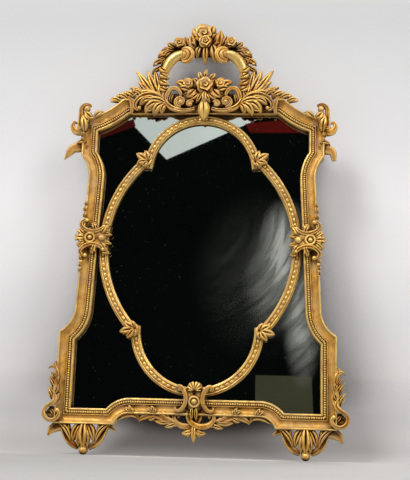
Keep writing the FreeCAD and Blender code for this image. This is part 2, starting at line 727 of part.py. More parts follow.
def turn_buttons():
    """Turn buttons that hold the board in its rebate, and their screws."""
    buttons, screws = {}, []
    near = PAD_HEIGHT - LIFT_CLEARANCE
    under_head = near - BUTTON_THICKNESS - LIFT_CLEARANCE
    half = BUTTON_WIDTH / 2
    wallward = Vector(0, 1, 0)
    bore = BUTTON_SCREW_RADIUS + RUNNING_CLEARANCE
    for name, (x, z) in button_places().items():
        inward = -1.0 if x > 0 else 1.0
        first, last = x - inward * BUTTON_TAIL, x + inward * (BUTTON_LENGTH - BUTTON_TAIL)
        ends = [Part.makeCylinder(half, BUTTON_THICKNESS, at(e, z, near), wallward) for e in (first, last)]
        bar = Part.makeBox(
            abs(last - first), BUTTON_THICKNESS, BUTTON_WIDTH, Vector(min(first, last), -near, z - half)
        )
        hole = Part.makeCylinder(bore, 2 * PAD_HEIGHT, at(x, z, 2 * PAD_HEIGHT), wallward)
        buttons[f"turn_button_{name}"] = fused([bar, *ends]).cut(hole)
        head = Part.makeCylinder(BUTTON_HEAD_RADIUS, BUTTON_HEAD_HEIGHT, at(x, z, under_head), wallward)
        shank_reach = BUTTON_SCREW_LENGTH + PAD_HEIGHT - under_head
        shank = Part.makeCylinder(BUTTON_SCREW_RADIUS, shank_reach, at(x, z, under_head), Vector(0, -1, 0))
        screws.append(head.fuse(shank))
    return buttons, screws


def disc(radius, centre, way):
    """A round face."""
    return Part.Face(Part.Wire(Part.makeCircle(radius, centre, way)))


def hanger():
    """The right-hand hanger: strap with its rolled eye, the ring hanging from it and the two screws."""
    x, z = stile_sight(HANGER_HEIGHT) + HANGER_EDGE, HANGER_HEIGHT
    bore = RING_WIRE + RUNNING_CLEARANCE
    roll = bore + STRAP_THICKNESS
    pin = PAD_HEIGHT - roll - LIFT_CLEARANCE / 2
    half = STRAP_WIDTH / 2
    foot = Vector(x - half, -PAD_HEIGHT, z - STRAP_LENGTH)
    plate = Part.makeBox(STRAP_WIDTH, STRAP_THICKNESS, STRAP_LENGTH, foot)
    eye = Part.makeCylinder(roll, STRAP_WIDTH, at(x - half, z, pin), Vector(1, 0, 0))
    hole = Part.makeCylinder(bore, STRAP_WIDTH, at(x - half, z, pin), Vector(1, 0, 0))
    size = (HANGER_SCREW_RADIUS, HANGER_SCREW_HEAD, HANGER_SCREW_LENGTH)
    screws = [countersunk(x, z - drop, *size, PAD_HEIGHT - STRAP_THICKNESS) for drop in STRAP_HOLES]
    strap = plate.fuse(eye).cut(hole).removeSplitter()
    for screw in screws:
        strap = strap.cut(screw)

    side = RING_HALF - RING_CORNER
    bar = Part.makeCylinder(RING_WIRE, 2 * side, at(x - side, z, pin), Vector(1, 0, 0))
    parts = [bar]
    for sign in (1.0, -1.0):
        section = disc(RING_WIRE, at(x + sign * side, z, pin), Vector(1, 0, 0))
        pivot = at(x + sign * side, z - RING_CORNER, pin)
        parts.append(section.revolve(pivot, Vector(0, sign, 0), 90.0))
    section = disc(RING_WIRE, at(x + RING_HALF, z - RING_CORNER, pin), Vector(0, 0, 1))
    parts.append(section.revolve(at(x, z - RING_CORNER, pin), Vector(0, 1, 0), 180.0))
    return strap, fused(parts), screws


def wall_pads():
    """Soft pads at the four corners of the back."""
    places = (
        (SHOULDER_HALF + PAD_EDGE, SHOULDER_HEIGHT - PAD_UPPER_FALL),
        (FOOT_HALF + PAD_EDGE, -FOOT_DROP + PAD_LOWER_RISE),
    )
    wallward = Vector(0, 1, 0)
    pads = [Part.makeCylinder(PAD_RADIUS, PAD_HEIGHT, at(x, z, PAD_HEIGHT), wallward) for x, z in places]
    return pads + [mirrored(p) for p in pads]


def scroll(anchor, start, heading, turns, tube, depth):
    """A round tube led through tangent arcs, each given as a radius and a turn, left turns positive."""
    x, z = anchor[0] + start[0], anchor[1] + start[1]
    way = turned(heading)
    section = Part.Wire(Part.makeCircle(tube, at(x, z, depth), Vector(way[0], 0, way[1])))
    edges = []
    for radius, turn in turns:
        side = 90.0 if turn > 0 else -90.0
        cx, cz = x + radius * turned(heading + side)[0], z + radius * turned(heading + side)[1]
        points = [(x, z)]
        for share in (0.5, 1.0):
            c, s = turned(heading - side + turn * share)
            points.append((cx + radius * c, cz + radius * s))
        edges.append(Part.Arc(*(at(*p, depth) for p in points)).toShape())
        x, z = points[-1]
        heading += turn
    return Part.Wire(edges).makePipeShell([section], True, False), (x, z)


def ball(point, radius, depth):
    """A round boss or pearl."""
    return Part.makeSphere(radius, at(*point, depth))


def blade(anchor, shape, low, high):
    """A leaf blade between two arcs, given as its root, tip, width and bow to the left."""
    root, tip, width, bow = shape
    spine = Run(root, tip)
    place = [(anchor[0] + p[0], anchor[1] + p[1]) for p in (root, tip)]
    flanks = [spine.point(spine.length / 2, bow + side * width / 2) for side in (1, -1)]
    edges = []
    for x, z in flanks:
        middle = at(anchor[0] + x, anchor[1] + z, low)
        edges.append(Part.Arc(at(*place[0], low), middle, at(*place[1], low)).toShape())
    return Part.Face(Part.Wire(Part.__sortEdges__(edges))).extrude(Vector(0, low - high, 0))


def rose(anchor, flower, low):
    """A flower as a stepped dome, whose rings stand for its rows of petals."""
    (x, z), radius = flower
    centre = (anchor[0] + x, anchor[1] + z)
    points = [at(centre[0] + radius * r, centre[1], low + radius * h) for r, h in ROSE_RINGS]
    face = Part.Face(Part.makePolygon(points + points[:1]))
    return face.revolve(at(*centre, low), Vector(0, -1, 0), 360.0)


def crest():
    """The pierced crest: arches, volutes, acanthus scrolls, fans, two bouquets and the husk."""
    base = (0.0, TOP_EDGE)
    back, front = PAD_HEIGHT + CARVE_BACK, PAD_HEIGHT + CARVE_BACK + CARVE_BODY
    scroll_depth = PAD_HEIGHT + SCROLL_DEPTH
    arch_depth = PAD_HEIGHT + ARCH_DEPTH
    arch, end = scroll(base, ARCH_START, ARCH_HEADING, ARCH_TURNS, ARCH_TUBE, arch_depth)
    volute, eye = scroll(base, VOLUTE_START, VOLUTE_HEADING, VOLUTE_TURNS, VOLUTE_TUBE, scroll_depth)
    acanthus, _ = scroll(
        base, ACANTHUS_START, ACANTHUS_HEADING, ACANTHUS_TURNS, ACANTHUS_TUBE, scroll_depth
    )
    pieces = {
        "crest_arch": fused([arch, ball(end, ARCH_EYE, arch_depth)]),
        "crest_volute": fused([volute, ball(eye, VOLUTE_EYE, scroll_depth)]),
        "crest_acanthus": fused([acanthus, blade(base, ACANTHUS_DROP, front, LIP_FRONT)]),
        "crest_fan": fused([blade(base, b, back, front) for b in FAN_BLADES]),
    }
    sides = {}
    for name, shape in pieces.items():
        sides[f"{name}_right"] = shape
        sides[f"{name}_left"] = mirrored(shape)
    top = [blade(base, TOP_BACKING, back, front)]
    top += [blade(base, leaf, back, front) for leaf in TOP_LEAVES]
    top += [rose(base, flower, front) for flower in TOP_ROSES]
    low = [blade(base, LOW_BACKING, back, front)]
    low += [blade(base, leaf, back, front) for leaf in LOW_LEAVES]
    low += [rose(base, flower, front) for flower in LOW_ROSES]
    husk = blade(base, HUSK, *(PAD_HEIGHT + d for d in HUSK_DEPTH))
    return {**sides, "crest_husk": husk, "crest_top_bouquet": fused(top), "crest_lower_bouquet": fused(low)}


def ears():
    """Volutes on the upper corners and the leaf horns below them."""
    depth = PAD_HEIGHT + SCROLL_DEPTH - EAR_SCROLL_TUBE
    back, front = PAD_HEIGHT + CARVE_BACK - CARVE_BODY, PAD_HEIGHT + SCROLL_DEPTH
    x, z = UPPER_CORNER[0] + EAR_SCROLL_START[0], UPPER_CORNER[1] + EAR_SCROLL_START[1]
    stem = Part.makeCylinder(EAR_SCROLL_TUBE, EAR_SCROLL_RISE, at(x, z, depth), Vector(0, 0, 1))
    top = (EAR_SCROLL_START[0], EAR_SCROLL_START[1] + EAR_SCROLL_RISE)
    curl, _ = scroll(UPPER_CORNER, top, 90.0, EAR_SCROLL_TURNS, EAR_SCROLL_TUBE, depth)
    radius = EAR_SCROLL_TURNS[0][0]
    eye = ball((UPPER_CORNER[0] + top[0] - radius, UPPER_CORNER[1] + top[1]), EAR_BALL, depth)
    leaf = blade(UPPER_CORNER, EAR_LEAF, depth - CARVE_BODY, LIP_FRONT + EAR_SCROLL_TUBE)
    volute = fused([stem, curl, eye, leaf])

    def horns(loss):
        root, tip, width, bow = HORN_LOWER
        short = (tip[0] - loss, tip[1])
        hook, _ = scroll(UPPER_CORNER, CURL_START, CURL_HEADING, CURL_TURNS, CURL_TUBE, depth)
        return [hook, blade(UPPER_CORNER, (root, short, width, bow), back, front)]

    return {
        "ear_volute_right": volute,
        "ear_volute_left": mirrored(volute),
        "ear_horns_right": horns(HORN_RIGHT_LOSS),
        "ear_horns_left": [mirrored(piece) for piece in horns(0.0)],
    }


def side_cartouches():
    """The cartouches that tie the oval to the stiles, and the pearls along the stiles."""
    anchor = (stile_sight(0.0), SIDE_LEVEL)
    back, front = LIP_FRONT - CARVE_BODY, LIP_FRONT
    upper, _ = scroll(
        anchor, SIDE_SCROLL_START, SIDE_SCROLL_HEADING, SIDE_SCROLL_TURNS, SIDE_SCROLL_TUBE, front
    )
    start = (SIDE_SCROLL_START[0], -SIDE_SCROLL_START[1])
    turns = [(radius, -turn) for radius, turn in SIDE_SCROLL_TURNS]
    lower, _ = scroll(anchor, start, -SIDE_SCROLL_HEADING, turns, SIDE_SCROLL_TUBE, front)
    (px, pz), radius = SIDE_PEARL
    whole = fused([
        blade(anchor, SIDE_BACKING, back, front),
        upper,
        lower,
        rose(anchor, SIDE_ROSE, front - SINK),
        ball((anchor[0] + px, anchor[1] + pz), radius, front),
        blade(anchor, SIDE_TIP, back, front + EAR_SCROLL_TUBE),
    ])
    outer = RAIL_WIDTH - LIP_WIDTH / 2
    pearls = [ball((stile_sight(z) + outer, z), radius, LIP_FRONT) for z, radius in STILE_PEARLS]
    for above, radius in SHOULDER_PEARLS:
        pearls.append(ball((SHOULDER_HALF + outer, SHOULDER_HEIGHT + above), radius, LIP_FRONT))
    return whole, pearls + [mirrored(p) for p in pearls]


def lower_cartouche():
    """The cartouche under the oval, its two rings, the pendant leaf and the apron's waves."""
    anchor = (0.0, -ARCH_DROP)
    back, front = LIP_FRONT - CARVE_BODY, LIP_FRONT
    crook, end = scroll(anchor, LOW_C_START, LOW_C_HEADING, LOW_C_TURNS, LOW_C_TUBE, front)
    first = (anchor[0] + LOW_C_START[0], anchor[1] + LOW_C_START[1])
    hook = fused([crook, ball(first, LOW_C_EYE, front), ball(end, LOW_C_EYE, front)])
    ring, _ = scroll(
        anchor, RING_SCROLL_START, -90.0, RING_SCROLL_TURNS, RING_SCROLL_TUBE, PAD_HEIGHT + ARCH_DEPTH
    )
    whole = fused([
        blade(anchor, LOW_PLATE, back, front),
        blade(anchor, LOW_SHELL, back, front + LOW_C_TUBE),
        rose(anchor, LOW_ROSETTE, front - SINK),
        hook,
        mirrored(hook),
    ])
    rings = [ring, mirrored(ring)]
    pendant = fused([
        blade(anchor, b, PAD_HEIGHT + CARVE_BACK, PAD_HEIGHT + SCROLL_DEPTH) for b in PENDANT_BLADES
    ])
    depth = PAD_HEIGHT + ARCH_DEPTH
    waves = []
    room = ARCH_HALF - APRON_FIRST - APRON_RADIUS - APRON_TUBE
    for i in range(1 + int(room / APRON_PITCH)):
        start = (APRON_FIRST + i * APRON_PITCH - APRON_RADIUS, APRON_START)
        wave, _ = scroll(anchor, start, -90.0, ((APRON_RADIUS, 180.0),), APRON_TUBE, depth)
        waves.append(wave)
    waves = [fused(waves)]
    return whole, rings, pendant, waves + [mirrored(w) for w in waves]


def lower_corners():
    """Volutes and acanthus leaves on the lower corners."""
    depth = LIP_FRONT
    volute, end = scroll(LOWER_CORNER, CORNER_START, CORNER_HEADING, CORNER_TURNS, CORNER_TUBE, depth)
    volute = fused([volute, ball(end, CORNER_EYE, depth)])
    back, front = PAD_HEIGHT + CARVE_BODY, LIP_FRONT + CORNER_TUBE
    leaf = fused([blade(LOWER_CORNER, b, back, front) for b in CORNER_BLADES])
    return volute, leaf


def feet():
    """A pierced leaf bracket under each lower corner, and the ball it stands on."""
    anchor = (FOOT_HALF - FOOT_INSET, LOWER_EDGE)
    depth = PAD_HEIGHT + FOOT_DEPTH
    half = CARVE_BODY / 2
    arms = [
        scroll(anchor, start, heading, turns, FOOT_ARM_TUBE, depth)[0]
        for start, heading, turns in (FOOT_OUTER_ARM, FOOT_INNER_ARM)
    ]
    (hx, hz), radius = FOOT_HUB
    whole = fused([
        *arms,
        blade(anchor, FOOT_LEAF, depth - half, depth + half),
        blade(anchor, FOOT_HORN, depth - half, depth + half),
        ball((anchor[0] + hx, anchor[1] + hz), radius, depth),
    ])
    return whole, ball((anchor[0], anchor[1] - BALL_DROP), BALL_RADIUS, depth)


def clasps():
    """Leaf clasps over the four joints of the oval."""
    made = {}
    low, high = GLASS_FRONT + OVAL_EDGE_DEPTH, GLASS_FRONT + OVAL_CROWN_DEPTH + CLASP_RISE
    for end, level in ((1, "upper"), (-1, "lower")):
        joint = Run(oval_meet(end, -OVAL_WIDTH / 2), oval_meet(end, OVAL_WIDTH / 2))
        middle = joint.length / 2 + CLASP_REACH / 2
        leaf = ((-CLASP_LENGTH / 2, 0.0), (CLASP_LENGTH / 2, 0.0), CLASP_WIDTH, 0.0)
        x, z = joint.point(middle, 0.0)
        turn = math.degrees(math.atan2(joint.way[1], joint.way[0]))
        shape = blade((0.0, 0.0), leaf, low, high)
        shape.rotate(Vector(0, 0, 0), Vector(0, -1, 0), turn)
        shape.translate(Vector(x, 0, z))
        made[f"clasp_{level}_right"] = shape
        made[f"clasp_{level}_left"] = mirrored(shape)
    return made


def seated(shape, seats):
    """A carving with the wood that it sits on taken out of it, less the chips that the cut leaves."""
    for seat in seats:
        if shape.BoundBox.intersect(seat.BoundBox):
            shape = shape.cut(seat)
    least = CHIP_SHARE * shape.Volume
    return Part.makeCompound([solid for solid in shape.Solids if solid.Volume > least])


def build():
    """Every piece by its name, as a list of solids about the middle of the oval."""
    rails, beads = frame_rails()
    dowels = corner_dowels()
    oval = oval_moulding()
    screws = oval_screws()
    buttons, button_screws = turn_buttons()
    strap, ring, hanger_screws = hanger()
    hanger_screws += [mirrored(s) for s in hanger_screws]

    nodes = {}
    for name, rail in rails.items():
        for tool in dowels + button_screws + hanger_screws:
            if rail.BoundBox.intersect(tool.BoundBox):
                rail = rail.cut(tool)
        nodes[name] = rail
    nodes["bead_course"] = beads
    nodes["corner_dowels"] = dowels
    board = prism(whole_outline(PLATE_INSET, 0.0), PAD_HEIGHT, BOARD_FRONT)
    nodes["backboard"] = board.cut(screws)
    for name, arc in oval.items():
        nodes[name] = arc.cut(screws)
    nodes["oval_screws"] = screws
    nodes.update(glass_plates())
    nodes.update(buttons)
    nodes["turn_button_screws"] = button_screws
    nodes["hanger_straps"] = [strap, mirrored(strap)]
    nodes["hanger_ring_right"], nodes["hanger_ring_left"] = ring, mirrored(ring)
    nodes["hanger_screws"] = hanger_screws
    nodes["wall_pads"] = wall_pads()

    carved = clasps()
    carved.update(ears())
    crested = crest()
    order = ("arch", "acanthus", "volute", "fan", "husk", "lower_bouquet", "top_bouquet")
    for word in order:
        carved.update({name: shape for name, shape in crested.items() if word in name})
    cartouche, pearls = side_cartouches()
    carved["side_cartouche_right"], carved["side_cartouche_left"] = cartouche, mirrored(cartouche)
    carved["stile_pearls"] = pearls
    low, rings, pendant, waves = lower_cartouche()
    carved["lower_cartouche"] = low
    carved["lower_rings"] = rings
    carved["lower_pendant"] = pendant
    carved["apron_waves"] = waves
    volute, leaf = lower_corners()
    carved["corner_volute_right"], carved["corner_volute_left"] = volute, mirrored(volute)
    carved["corner_leaf_right"], carved["corner_leaf_left"] = leaf, mirrored(leaf)
    foot, foot_ball = feet()
    carved["foot_right"], carved["foot_left"] = foot, mirrored(foot)
    carved["foot_balls"] = [foot_ball, mirrored(foot_ball)]

    seats = [*rails.values(), *beads, *oval.values()]
    for name, shape in carved.items():
        group = shape if isinstance(shape, list) else [shape]
        group = [seated(piece, seats) for piece in group]
        nodes[name] = group
        seats += group
    return nodes


def main():
    os.makedirs("parts", exist_ok=True)
    for name, shapes in build().items():
        group = shapes if isinstance(shapes, list) else [shapes]
        solids = [solid for shape in group for solid in shape.Solids]
        whole = Part.makeCompound(solids)
        whole.translate(Vector(0, 0, -HANGER_HEIGHT))
        whole.exportStep(f"parts/{name}.step")
        bad = [s for s in solids if not s.isValid()]
        volume = sum(s.Volume for s in solids) / 1000
        print(f"{name}: {len(solids)} solids, {volume:.1f} cm3, {len(bad)} invalid")


main()
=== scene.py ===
"""Looks of a carved and gilded wall mirror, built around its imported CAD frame.

Places are in millimetres about the middle of the oval, as x to the right, z up and a depth forward
of the wall, and they are turned into the frame's metres when a piece is made.
"""

import math

import bmesh
import bpy
import numpy as np
from bpy.props import FloatProperty, FloatVectorProperty, PointerProperty
from mathutils import Matrix, Vector


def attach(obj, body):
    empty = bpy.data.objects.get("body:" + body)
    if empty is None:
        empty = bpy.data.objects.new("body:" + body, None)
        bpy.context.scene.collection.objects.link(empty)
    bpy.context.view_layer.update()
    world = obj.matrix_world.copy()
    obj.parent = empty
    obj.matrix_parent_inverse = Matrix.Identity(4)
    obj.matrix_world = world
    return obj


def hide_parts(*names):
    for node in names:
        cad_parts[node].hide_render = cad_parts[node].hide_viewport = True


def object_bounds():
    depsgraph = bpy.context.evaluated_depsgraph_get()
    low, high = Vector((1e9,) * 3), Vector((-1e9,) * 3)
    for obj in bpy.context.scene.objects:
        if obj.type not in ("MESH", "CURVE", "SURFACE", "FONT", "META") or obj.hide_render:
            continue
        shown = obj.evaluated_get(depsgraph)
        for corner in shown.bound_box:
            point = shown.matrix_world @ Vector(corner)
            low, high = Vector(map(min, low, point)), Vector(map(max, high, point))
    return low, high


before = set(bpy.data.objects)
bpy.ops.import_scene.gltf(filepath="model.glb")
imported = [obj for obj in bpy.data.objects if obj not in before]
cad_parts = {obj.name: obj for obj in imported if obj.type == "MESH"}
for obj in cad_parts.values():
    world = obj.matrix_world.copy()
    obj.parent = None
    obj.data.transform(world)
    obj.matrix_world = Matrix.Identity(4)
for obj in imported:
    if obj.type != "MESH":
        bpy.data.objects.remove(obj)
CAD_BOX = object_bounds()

bl_info = {
    "name": "Gilded Wall Mirror",
    "version": (1, 0, 0),
    "blender": (4, 5, 0),
    "location": "View3D > Sidebar > Mirror",
    "description": "Mouldings, carvings, plates and stage of a carved and gilded wall mirror",
    "category": "Add Mesh",
}

BODY = "mirror"
PIN_HEIGHT = 150.0
MM = 0.001

# The opening's edge, for the right half
SIGHT_TOP, SIGHT_TOP_HALF = 368.0, 212.0
SHOULDER, SHOULDER_SAG = (300.0, 316.0), 5.0
WAIST_TOP, WAIST_TOP_RADIUS = (275.5, 172.0), 135.0
WAIST_LOW, WAIST_LOW_RADIUS = (291.5, -195.0), 120.0
FOOT = (332.0, -462.0)
ARCH_DROP, ARCH_HALF, ARCH_FOOT_HALF = 432.0, 172.0, 237.0
RAIL_WIDTH = 42.0
TOP_EDGE = SIGHT_TOP + RAIL_WIDTH

# Section of the frame from the rebate round the front and back again: across, forward, and how far it stands out, which
# sets the gilding's colour, darker in the hollows partly as painted shade
RAIL_PROFILE = (
    (9.0, 8.0, 0.2), (9.0, 18.0, 0.0), (0.0, 18.0, 0.0), (0.0, 33.5, 0.1), (0.4, 35.6, 0.5), (1.6, 37.2, 0.8),
    (3.4, 38.0, 0.85), (5.0, 37.9, 0.6), (5.8, 37.0, 0.15), (6.6, 36.6, 0.0), (8.6, 37.4, 0.05), (10.75, 37.6, 0.1),
    (12.9, 37.4, 0.05), (14.9, 36.6, 0.0), (15.5, 37.4, 0.2), (15.8, 39.2, 0.7), (16.8, 39.9, 0.8), (18.0, 39.4, 0.6),
    (18.5, 38.2, 0.2), (20.5, 36.7, 0.25), (23.5, 35.6, 0.3), (26.5, 35.4, 0.35), (29.5, 36.2, 0.4), (32.2, 38.0, 0.45),
    (34.4, 40.4, 0.45), (36.0, 43.0, 0.35), (36.6, 43.6, 0.15), (36.7, 45.4, 0.5), (37.4, 47.2, 0.85),
    (38.9, 48.4, 1.0),
    (40.4, 48.3, 1.0), (41.6, 47.2, 0.85), (42.0, 45.4, 0.6), (42.0, 41.0, 0.45), (40.8, 39.6, 0.2), (40.6, 33.0, 0.3),
    (41.4, 24.0, 0.35), (42.0, 16.0, 0.3), (42.0, 8.0, 0.2),
)
BEAD_LINE, BEAD_DEPTH = 10.75, 38.6

# The oval: centre and radius of each arc, where its top and bottom arcs end in cusps, and its section
OVAL_ARCS = {
    "top": ((0.0, 199.0), 154.0),
    "right": ((-67.43, -17.5), 335.93),
    "bottom": ((0.0, -246.0), 168.0),
}
OVAL_CUSPS = {"top": 3.5, "bottom": 3.0}
OVAL_PROFILE = (
    (-3.0, 14.2, 0.0), (-3.0, 18.2, 0.0), (-13.0, 18.2, 0.0), (-13.0, 24.6, 0.15), (-12.5, 26.4, 0.6),
    (-11.2, 27.6, 0.8),
    (-9.8, 27.9, 0.4), (-9.3, 28.8, 0.2), (-9.2, 31.4, 0.5), (-8.6, 33.0, 0.9), (-7.3, 33.9, 1.0), (-6.0, 33.5, 0.8),
    (-5.4, 32.4, 0.35), (-4.9, 31.2, 0.2), (0.0, 30.9, 0.25), (4.9, 31.2, 0.2), (5.4, 32.4, 0.35), (6.0, 33.5, 0.8),
    (7.3, 33.9, 1.0), (8.6, 33.0, 0.9), (9.2, 31.4, 0.5), (9.3, 28.8, 0.2), (9.8, 27.9, 0.4), (11.2, 27.6, 0.8),
    (12.5, 26.4, 0.6), (13.0, 24.6, 0.15), (13.0, 18.2, 0.0), (3.0, 18.2, 0.0), (3.0, 14.2, 0.0),
)
OVAL_BEAD_DEPTH = 31.2
CLASPS = {"upper": ((147.0, 224.0), (190.0, 252.0)), "lower": ((164.0, -246.0), (210.0, -256.0))}

# Behind the crest the top rail is plain, with a section of its own, whose low heights paint it dark as shade under the
# crest
TOP_BREAK = 205.0
PLAIN_PROFILE = (
    (9.0, 8.0, 0.1), (9.0, 18.0, 0.0), (0.0, 18.0, 0.0), (0.0, 30.0, 0.2), (1.0, 32.0, 0.7), (2.6, 32.8, 0.9),
    (4.2, 32.2, 0.6), (5.0, 30.4, 0.1), (40.0, 30.0, 0.1), (42.0, 28.0, 0.3), (42.0, 8.0, 0.2),
)

# Wiped haze on the glass, in metres across and up from the frame's origin: middle, reach and strength
GLASS_HAZE = (
    ((0.235, -0.16), (0.08, 0.15), 1.5),
    ((0.21, -0.26), (0.1, 0.17), 0.5),
    ((0.285, -0.36), (0.06, 0.2), 1.1),
    ((0.16, -0.24), (0.2, 0.26), 0.06),
)

# Glowing cards that the glass shows as the room's reflection, painted light: colour and corners in metres
ROOM_CARDS = (
    ("dark_room", "#070b09", ((-3.4, -4.2, -0.73), (3.0, -4.2, -0.73), (3.0, -4.2, 3.2), (-3.4, -4.2, 3.2))),
    ("pale_ceiling", "#ecefee", (
        (-0.98, -4.1, 1.75), (-0.62, -4.1, 1.38), (-0.15, -4.1, 1.6), (0.1, -4.1, 1.72), (0.1, -4.1, 1.95),
        (-0.98, -4.1, 1.95))),
    ("red_beam", "#5c1512", ((-0.03, -4.0, 1.63), (0.38, -4.0, 1.67), (0.41, -4.0, 1.56), (0.01, -4.0, 1.56))),
    ("red_beam_end", "#4a1310", ((-1.13, -4.0, 1.54), (-0.87, -4.0, 1.67), (-0.85, -4.0, 1.61), (-1.11, -4.0, 1.51))),
    ("grey_box", "#484535", ((0.1, -3.0, -0.3), (0.43, -3.0, -0.3), (0.44, -3.0, -0.515), (0.1, -3.0, -0.52))),
)

# The backdrop's colour by height, from the floor to above the crest: painted light and shade, darker near the floor for
# the shade low on the backdrop and darker at the top to even out the lamps' stronger light there
BACKDROP = (
    (0.02, "#bcbdc1"), (0.07, "#c6c8cd"), (0.13, "#eceef3"), (0.206, "#ebeef5"), (0.292, "#f3f6fd"), (0.379, "#f5f8ff"),
    (0.465, "#e8ebf2"), (0.552, "#dee2e8"), (0.638, "#d1d5db"),
)

# Where the backdrop stands and sweeps into the floor, in metres, and how far its height colours reach
WALL_GAP, WALL_SWEEP, WALL_HALF, WALL_OVER = 0.015, 0.22, 7.0, 1.6
WALL_SHADES = (-0.75, 1.25)
WALL_BLEND = (0.004, 0.06)
# Painted shade in the dim gap behind the frame: its dark colour, how far the ambient occlusion looks for what shuts out
# the light, and between which shares it fades
GAP_SHADE, GAP_REACH, GAP_SHARES = "#241d15", 2.0, (0.19, 0.39)

# Soft lamps: place and size in metres, and power beside the setting
LAMPS = (
    ("key", (-2.2, -3.9, 3.7), 1.8, 5.6),
    ("side", (3.2, -3.7, 2.6), 1.8, 2.4),
    ("over", (0.1, -1.9, 4.6), 1.8, 1.2),
    ("back", (0.9, 4.4, 2.6), 2.6, 3.2),
)
LAMP_AIM = (0.0, 0.0, -0.1)


def linear(colour):
    """An sRGB hex value as a linear colour with full alpha."""
    parts = [int(colour[i : i + 2], 16) / 255 for i in (1, 3, 5)]
    return tuple(p / 12.92 if p <= 0.04045 else ((p + 0.055) / 1.055) ** 2.4 for p in parts) + (1.0,)


def per_metre(millimetres):
    """The texture scale whose features are that far apart."""
    return 1.0 / (millimetres * MM)


# Drawing in the plane of the mirror


def unit(angle):
    """The unit vector at an angle in degrees from +x towards +z."""
    return np.array((math.cos(math.radians(angle)), math.sin(math.radians(angle))))


class Straight:
    """A straight stretch of the opening's edge, with the outside on its left."""

    def __init__(self, start, end):
        self.start, self.end = np.array(start, float), np.array(end, float)
        self.length = np.linalg.norm(self.end - self.start)
        self.way = (self.end - self.start) / self.length
        self.out = np.array((-self.way[1], self.way[0]))

    def heading(self, _last):
        """Its direction in degrees, the same at both ends."""
        return math.degrees(math.atan2(self.way[1], self.way[0]))

    def place(self, along, offset):
        """The point some way along it, moved outwards."""
        return self.start + self.way * along + self.out * offset

    def past(self, extra, offset):
        """The point some way past its end, moved outwards."""
        return self.place(self.length + extra, offset)

    def side(self, point, offset):
        """How far a point lies outside it, when it is moved outwards."""
        return (point - self.start) @ self.out - offset

    def walk(self, first, last, _offset, step):
        """Points from one place on it to another."""
        count = max(2, int(self.length / (4 * step)))
        return first + (last - first) * np.linspace(0, 1, count)[:, None]


class Round:
    """A round stretch of the opening's edge, struck from outside the frame."""

    def __init__(self, centre, radius, first, last):
        self.centre, self.radius = np.array(centre, float), radius
        self.first, self.last = first, last
        self.start, self.end = self.centre + radius * unit(first), self.centre + radius * unit(last)

    def heading(self, last):
        """Its direction in degrees at its end or its start."""
        return (self.last if last else self.first) + 90.0

    def past(self, extra, offset):
        """The point some way past its end, moved outwards."""
        return self.centre + (self.radius - offset) * unit(self.last + math.degrees(extra / self.radius))

    def side(self, point, offset):
        """How far a point lies outside it, when it is moved outwards."""
        return self.radius - offset - np.linalg.norm(point - self.centre)

    def walk(self, first, last, offset, step):
        """Points from one place on it to another, moved outwards."""
        begin, finish = (math.degrees(math.atan2(*(p - self.centre)[::-1])) for p in (first, last))
        finish += 360.0 if finish < begin else 0.0
        count = max(6, int(math.radians(self.last - self.first) * self.radius / step))
        turn = np.radians(np.linspace(begin, finish, count))
        return self.centre + (self.radius - offset) * np.stack([np.cos(turn), np.sin(turn)], 1)


def smooth_joint(before, after):
    """True where two stretches meet without a kink."""
    return abs((after.heading(False) - before.heading(True) + 180.0) % 360.0 - 180.0) < 0.5


def meeting(before, after, offset):
    """Where two stretches meet when both are moved outwards."""
    if smooth_joint(before, after):
        return before.past(0.0, offset)
    low, high = -58.0, 58.0
    sign = after.side(before.past(low, offset), offset) > 0
    for _ in range(50):
        middle = (low + high) / 2
        if (after.side(before.past(middle, offset), offset) > 0) == sign:
            low = middle
        else:
            high = middle
    return before.past((low + high) / 2, offset)


def opening_edge():
    """The right half of the opening's edge, from the top middle to the bottom middle."""
    kink = (SIGHT_TOP_HALF, SIGHT_TOP)
    chord = Straight(kink, SHOULDER)
    radius = (chord.length**2 / 4 + SHOULDER_SAG**2) / (2 * SHOULDER_SAG)
    centre = chord.place(chord.length / 2, radius - SHOULDER_SAG)
    first, last = (math.degrees(math.atan2(p[1] - centre[1], p[0] - centre[0])) for p in (kink, SHOULDER))
    dip = Round(centre, radius, first, last)
    waist = Straight(WAIST_TOP, WAIST_LOW)
    facing = math.degrees(math.atan2(-waist.out[1], -waist.out[0])) % 360.0
    centre = waist.place(0.0, WAIST_TOP_RADIUS)
    turn = math.degrees(math.acos((centre[0] - SHOULDER[0]) / WAIST_TOP_RADIUS))
    upper = Round(centre, WAIST_TOP_RADIUS, 180.0 - turn, facing)
    centre = waist.place(waist.length, WAIST_LOW_RADIUS)
    turn = math.degrees(math.acos((centre[0] - FOOT[0]) / WAIST_LOW_RADIUS))
    lower = Round(centre, WAIST_LOW_RADIUS, facing, 180.0 + turn)
    rise, run = -FOOT[1] - ARCH_DROP, ARCH_FOOT_HALF - ARCH_HALF
    radius = (run * run + rise * rise) / (2 * rise)
    arch = Round((ARCH_HALF, -ARCH_DROP - radius), radius, 90.0 - math.degrees(math.asin(run / radius)), 90.0)
    return [
        Straight((0.0, SIGHT_TOP), kink), dip, Straight(SHOULDER, upper.start), upper, waist, lower,
        Straight(lower.end, FOOT), Straight(FOOT, (ARCH_FOOT_HALF, FOOT[1])), arch,
        Straight((ARCH_HALF, -ARCH_DROP), (0.0, -ARCH_DROP)),
    ]


EDGE = opening_edge()
UPPER_CORNER = meeting(EDGE[1], EDGE[2], RAIL_WIDTH)
LOWER_CORNER = meeting(EDGE[6], EDGE[7], RAIL_WIDTH)
LOWER_EDGE = FOOT[1] - RAIL_WIDTH


def stile_sight(z):
    """How far from the middle the stile's sight edge lies, on its long straight."""
    share = (WAIST_TOP[1] - z) / (WAIST_TOP[1] - WAIST_LOW[1])
    return WAIST_TOP[0] + share * (WAIST_LOW[0] - WAIST_TOP[0])


